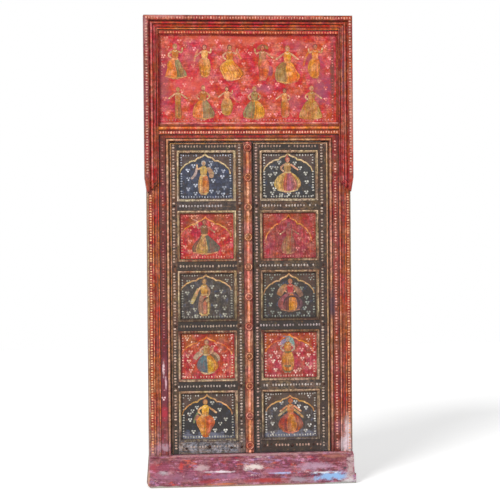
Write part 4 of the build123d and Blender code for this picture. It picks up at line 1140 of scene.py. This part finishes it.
def leaf_picture(side, number):
    """The arch, its spandrels, the dotted border, the sprigs and the dancer of one panel."""
    shape = ([], [], [])
    key = f"{side} {panel_places[number]}"
    middle, foot = panel_middle[side], panel_foot[number]
    top, reach = foot + 203, 118
    spring, apex, half = arches[key]
    line = arch_line(middle + arch_shift[side], spring, apex, half)
    left, right = middle - reach, middle + reach
    corners = [(right, spring), (right, top), (left, top), (left, spring)]
    daub(shape, line + corners, panel_face, spandrel_tones[number], 0, 0)
    tone = arch_tones[number]
    light = [min(255, part * 1.2) for part in tone]
    for up_by, width, colour, coat, taper in (
            (-2.4, 3.4, darker(tone, 0.45), 1, 0.3), (0, 6.8, tone, 2, 0.3), (0.9, 1.6, light, 3, 0.6)):
        stroke(shape, [(x, z + up_by) for x, z in line], width, panel_face, colour, coat, 0, taper)
    border, dots = 112, sprig_tones[side][number]
    lefts, rights = middle - border, middle + border
    for x in (lefts, rights):
        line_of_dabs(shape, (x, foot + 12), (x, spring - 8), panel_face, 12.0, 4.2, dots, 0.08)
        line_of_dabs(shape, (x, spring + 18), (x, top - 4), panel_face, 12.0, 4.0, dots, 0.12)
    line_of_dabs(shape, (lefts + 8, foot + 8), (rights - 8, foot + 8), panel_face, 12.0, 4.2, dots, 0.06)
    for start, end in ((lefts + 10, middle - 44), (middle + 40, rights - 8)):
        line_of_dabs(shape, (start, top - 7), (end, top - 7), panel_face, 12.0, 4.1, dots, 0.1)
    for x, z in sprig_places[key]:
        sprig(shape, x, z, panel_face, dots)
    dancer(shape, panel_face, **leaf_dancers[key])
    return shape


for side in sides:
    for number, place in enumerate(panel_places):
        red = number in crimson_panels
        tempera = painted(f"tempera of the {side} {place} picture", tone_of, upright,
                          fade=0.85 if (side, place) == ("right", "upper") else 0.5, soil=0.35, bare=0.1,
                          faded=(156, 50, 52) if red else (64, 62, 66), grime=(64, 42, 34),
                          seed=71.0 + number, bump=0.0004)
        shape_piece(f"{side}_{place}_picture", leaf_picture(side, number), tempera, f"{side}_leaf",
                    False)


# The frieze of the top panel: twelve dancers in two rows among pink sprigs, in ochre and orange, half worn
# away. It is painted over both boards as one picture.
frieze_dancers = [
    dict(x=-332, foot=1842, tall=164, skirt=[((226, 124, 62), 0.55), (olive, 0.75), ((142, 138, 88), 1)],
         wide=((10, 22, 20, 24, 28), (8, 16, 20, 30, 32)), bodice=(196, 120, 66), arms=[left_hip, right_up],
         hair=(170, 118, 70), hem=(224, 150, 92)),
    dict(x=-198, foot=1850, tall=152, skirt=[((216, 140, 56), 0.6), ((200, 112, 54), 1)],
         wide=((12, 16, 17, 17, 13), (14, 18, 16, 14, 11)), bodice=(232, 158, 74), turn=-1,
         arms=[left_up, right_out], hair=(96, 56, 44), hem=(232, 160, 110),
         veil=[((214, 128, 96), 6, [(18, 86), (28, 66), (30, 48)])]),
    dict(x=-84, foot=1834, tall=168, skirt=[((232, 160, 74), 0.5), ((226, 150, 56), 0.8),
         ((216, 128, 50), 1)], wide=((8, 24, 27, 20, 16), (8, 18, 30, 40, 28)), bodice=(206, 112, 62),
         arms=[left_hip, right_up], hair=(128, 72, 62), hem=(232, 164, 92),
         veil=[((222, 126, 92), 6, [(16, 84), (24, 70), (32, 60)])]),
    dict(x=66, foot=1836, tall=166, skirt=[((218, 116, 62), 0.6), ((186, 104, 62), 1)],
         wide=((16, 19, 17, 16, 12), (10, 12, 10, 9, 8)), bodice=(150, 118, 62), turn=-1,
         arms=[left_out, right_up], hair=(96, 62, 46), hem=(206, 132, 84),
         veil=[((150, 66, 84), 14, [(-20, 40), (-22, 26), (-20, 14)]),
         ((140, 112, 64), 9, [(14, 86), (2, 98), (-16, 88)])]),
    dict(x=180, foot=1820, tall=180, skirt=[((156, 118, 70), 0.5), ((230, 140, 60), 1)],
         wide=((12, 26, 30, 32, 28), (10, 18, 24, 34, 26)), bodice=(222, 146, 66), arms=[left_out, right_out],
         hair=(186, 122, 74), hem=(214, 146, 86)),
    dict(x=308, foot=1846, tall=160, skirt=[((218, 126, 58), 0.6), ((210, 112, 54), 1)],
         wide=((12, 18, 21, 20, 14), (11, 13, 13, 12, 10)), bodice=(232, 152, 78), arms=[left_up, right_up],
         hair=(100, 58, 46), hem=(226, 148, 98), veil=[((216, 112, 76), 6,
         [(-16, 80), (-28, 62), (-34, 36)])]),
    dict(x=-320, foot=1664, tall=146, skirt=[((176, 132, 66), 0.6), ((160, 118, 60), 1)],
         wide=((8, 9, 9, 9, 9), (7, 9, 9, 10, 10)), bodice=(196, 134, 82), arms=[left_out, right_out],
         hair=(186, 130, 92), hem=(190, 140, 82)),
    dict(x=-206, foot=1658, tall=160, skirt=[((222, 136, 62), 0.48), ((134, 120, 76), 1)],
         wide=((10, 22, 28, 30, 28), (10, 18, 26, 32, 30)), bodice=(190, 132, 76), arms=[left_hip, right_hip],
         hair=(176, 116, 84), hem=(190, 138, 84)),
    dict(x=-98, foot=1678, tall=134, skirt=[((196, 132, 66), 0.5), ((176, 124, 62), 1)],
         wide=((12, 17, 19, 18, 14), (12, 17, 19, 18, 16)), bodice=(220, 128, 76), turn=-1,
         arms=[left_up, right_out], hair=(92, 54, 44), hem=(206, 140, 76),
         veil=[((206, 110, 92), 5, [(-12, 70), (-32, 50), (-44, 44)])]),
    dict(x=28, foot=1658, tall=156, skirt=[((128, 122, 72), 0.52), ((222, 140, 58), 1)],
         wide=((10, 20, 28, 34, 32), (10, 22, 28, 30, 26)), bodice=(150, 126, 68), arms=[left_hip, right_hip],
         hair=(196, 126, 84), hem=(200, 142, 80)),
    dict(x=166, foot=1668, tall=136, skirt=[((206, 122, 76), 0.6), ((196, 124, 66), 1)],
         wide=((12, 15, 17, 16, 14), (10, 11, 11, 11, 11)), bodice=(226, 148, 92), turn=-1,
         arms=[right_out, left_hip], hair=(112, 62, 48), hem=(206, 140, 88)),
    dict(x=290, foot=1656, tall=160, skirt=[((178, 136, 68), 0.5), ((186, 146, 76), 1)],
         wide=((12, 22, 28, 34, 36), (10, 18, 22, 28, 30)), bodice=(196, 146, 88), arms=[left_hip, right_out],
         hair=(202, 150, 112), hem=(200, 154, 88)),
]
frieze_sprigs = [
    (-372, 2028), (-312, 2016), (-262, 2018), (-210, 2018), (-142, 2016), (-366, 1986), (-284, 1993),
    (-246, 1982), (-120, 1992), (-384, 1948), (-276, 1950), (-130, 1942), (-382, 1905), (-250, 1906),
    (-150, 1882), (-262, 1846), (-376, 1820), (-290, 1818), (-250, 1800), (-166, 1828), (-128, 1830),
    (-160, 1780), (-264, 1756), (-380, 1756), (-370, 1690), (-282, 1686), (-276, 1734), (-146, 1724),
    (-130, 1692), (-84, 2022), (-34, 2016), (20, 2003), (96, 2004), (64, 2026), (-44, 1972), (-8, 1974),
    (122, 1984), (-20, 1912), (114, 1926), (-4, 1856), (-22, 1826), (52, 1815), (98, 1805), (134, 1820),
    (-4, 1794), (-22, 1778), (120, 1780), (-36, 1760), (96, 1762), (-42, 1715), (108, 1714), (96, 1682),
    (126, 1682), (-60, 1684), (150, 2004), (266, 1996), (352, 1992), (232, 1972), (246, 1942), (250, 1884),
    (366, 1866), (274, 1836), (326, 1834), (356, 1804), (226, 1762), (356, 1752), (208, 1712), (206, 1682),
    (352, 1682), (362, 1722), (210, 2018), (10, 1960), (30, 1880), (-300, 1790), (240, 1810), (376, 1940),
    (366, 1900)]
frieze = ([], [], [])
for x in (-392, 387):
    line_of_dabs(frieze, (x, 1664), (x, 2030), board_face, 12.5, 3.2, (224, 140, 130), 0.18)
line_of_dabs(frieze, (-384, 1658), (380, 1658), board_face, 13, 3.4, (226, 150, 150), 0.12)
for x, z in frieze_sprigs:
    sprig(frieze, x, z, board_face, (240, 138, 134), 5.0)
for who in frieze_dancers:
    dancer(frieze, board_face, **who)
faded_tempera = painted("faded tempera of the frieze", tone_of, upright, fade=0.45, soil=0.3, bare=0.1,
                        faded=(206, 84, 66), grime=(130, 66, 48), seed=83.0, bump=0.0004)
shape_piece("frieze_of_dancers", frieze, faded_tempera, "frame", False)


# The place it is shown in: a plain pale floor, soft light from the upper left and a little all round, and the
# camera a few degrees to the left of the middle.
white = (1, 1, 1, 1)


def looked_at(tree):
    """1 where the camera looks, straight or in a mirror, and 0 for the light that falls on other things."""
    rays = fit(tree, "LightPath", {}, {}).outputs
    mirrored = sum_of(tree, "MAXIMUM", rays["Is Glossy Ray"], rays["Is Transmission Ray"])
    return sum_of(tree, "MAXIMUM", rays["Is Camera Ray"], mirrored)


world = bpy.data.worlds.new("studio")
bpy.context.scene.world = world
world.use_nodes = True
tree = world.node_tree
tree.nodes.clear()
fill_light = fit(tree, "Background", {}, {"Color": white, "Strength": 0.36}).outputs[0]
backdrop = fit(tree, "Background", {}, {"Color": white, "Strength": 1.0}).outputs[0]
shown = fit(tree, "MixShader", {}, {0: looked_at(tree), 1: fill_light, 2: backdrop}).outputs[0]
tree.links.new(shown, fit(tree, "OutputWorld", {}, {}).inputs["Surface"])

floor_mesh = bpy.data.meshes.new("floor")
floor_mesh.from_pydata([(-9, -12, 0), (9, -12, 0), (9, 9, 0), (-9, 9, 0)], [], [(0, 1, 2, 3)])
floor = bpy.data.objects.new("floor", floor_mesh)
bpy.context.scene.collection.objects.link(floor)
floor_paint, tree, shader = new_material("pale floor")
shader.inputs["Base Color"].default_value = (0.86, 0.86, 0.86, 1)
shader.inputs["Roughness"].default_value = 0.9
shader.inputs["Emission Color"].default_value = white
tree.links.new(times(tree, looked_at(tree), 0.45), shader.inputs["Emission Strength"])
floor_mesh.materials.append(floor_paint)

key = bpy.data.objects.new("key light", bpy.data.lights.new("key light", "SUN"))
key.data.energy = 2.55
key.data.angle = math.radians(16)
key_from = Vector((-0.46, -0.78, 0.44))
key.matrix_world = key_from.to_track_quat("Z", "Y").to_matrix().to_4x4()
bpy.context.scene.collection.objects.link(key)

half_picture, focal_length = 250, 1782
camera_place = (-0.9406, -8.0545, 1.1826)
camera_turns = ((-6.68, "Z"), (-0.809, "X"), (0.503, "Y"), (90, "X"))
camera = bpy.data.objects.new("camera", bpy.data.cameras.new("camera"))
aim = Matrix.Translation(camera_place)
for angle, axis in camera_turns:
    aim = aim @ Matrix.Rotation(math.radians(angle), 4, axis)
camera.matrix_world = aim
camera.data.sensor_fit = "HORIZONTAL"
camera.data.angle = 2 * math.atan(half_picture / focal_length)
camera.data.clip_end = 60
bpy.context.scene.collection.objects.link(camera)
bpy.context.scene.camera = camera
bpy.context.scene.view_settings.view_transform = "Standard"
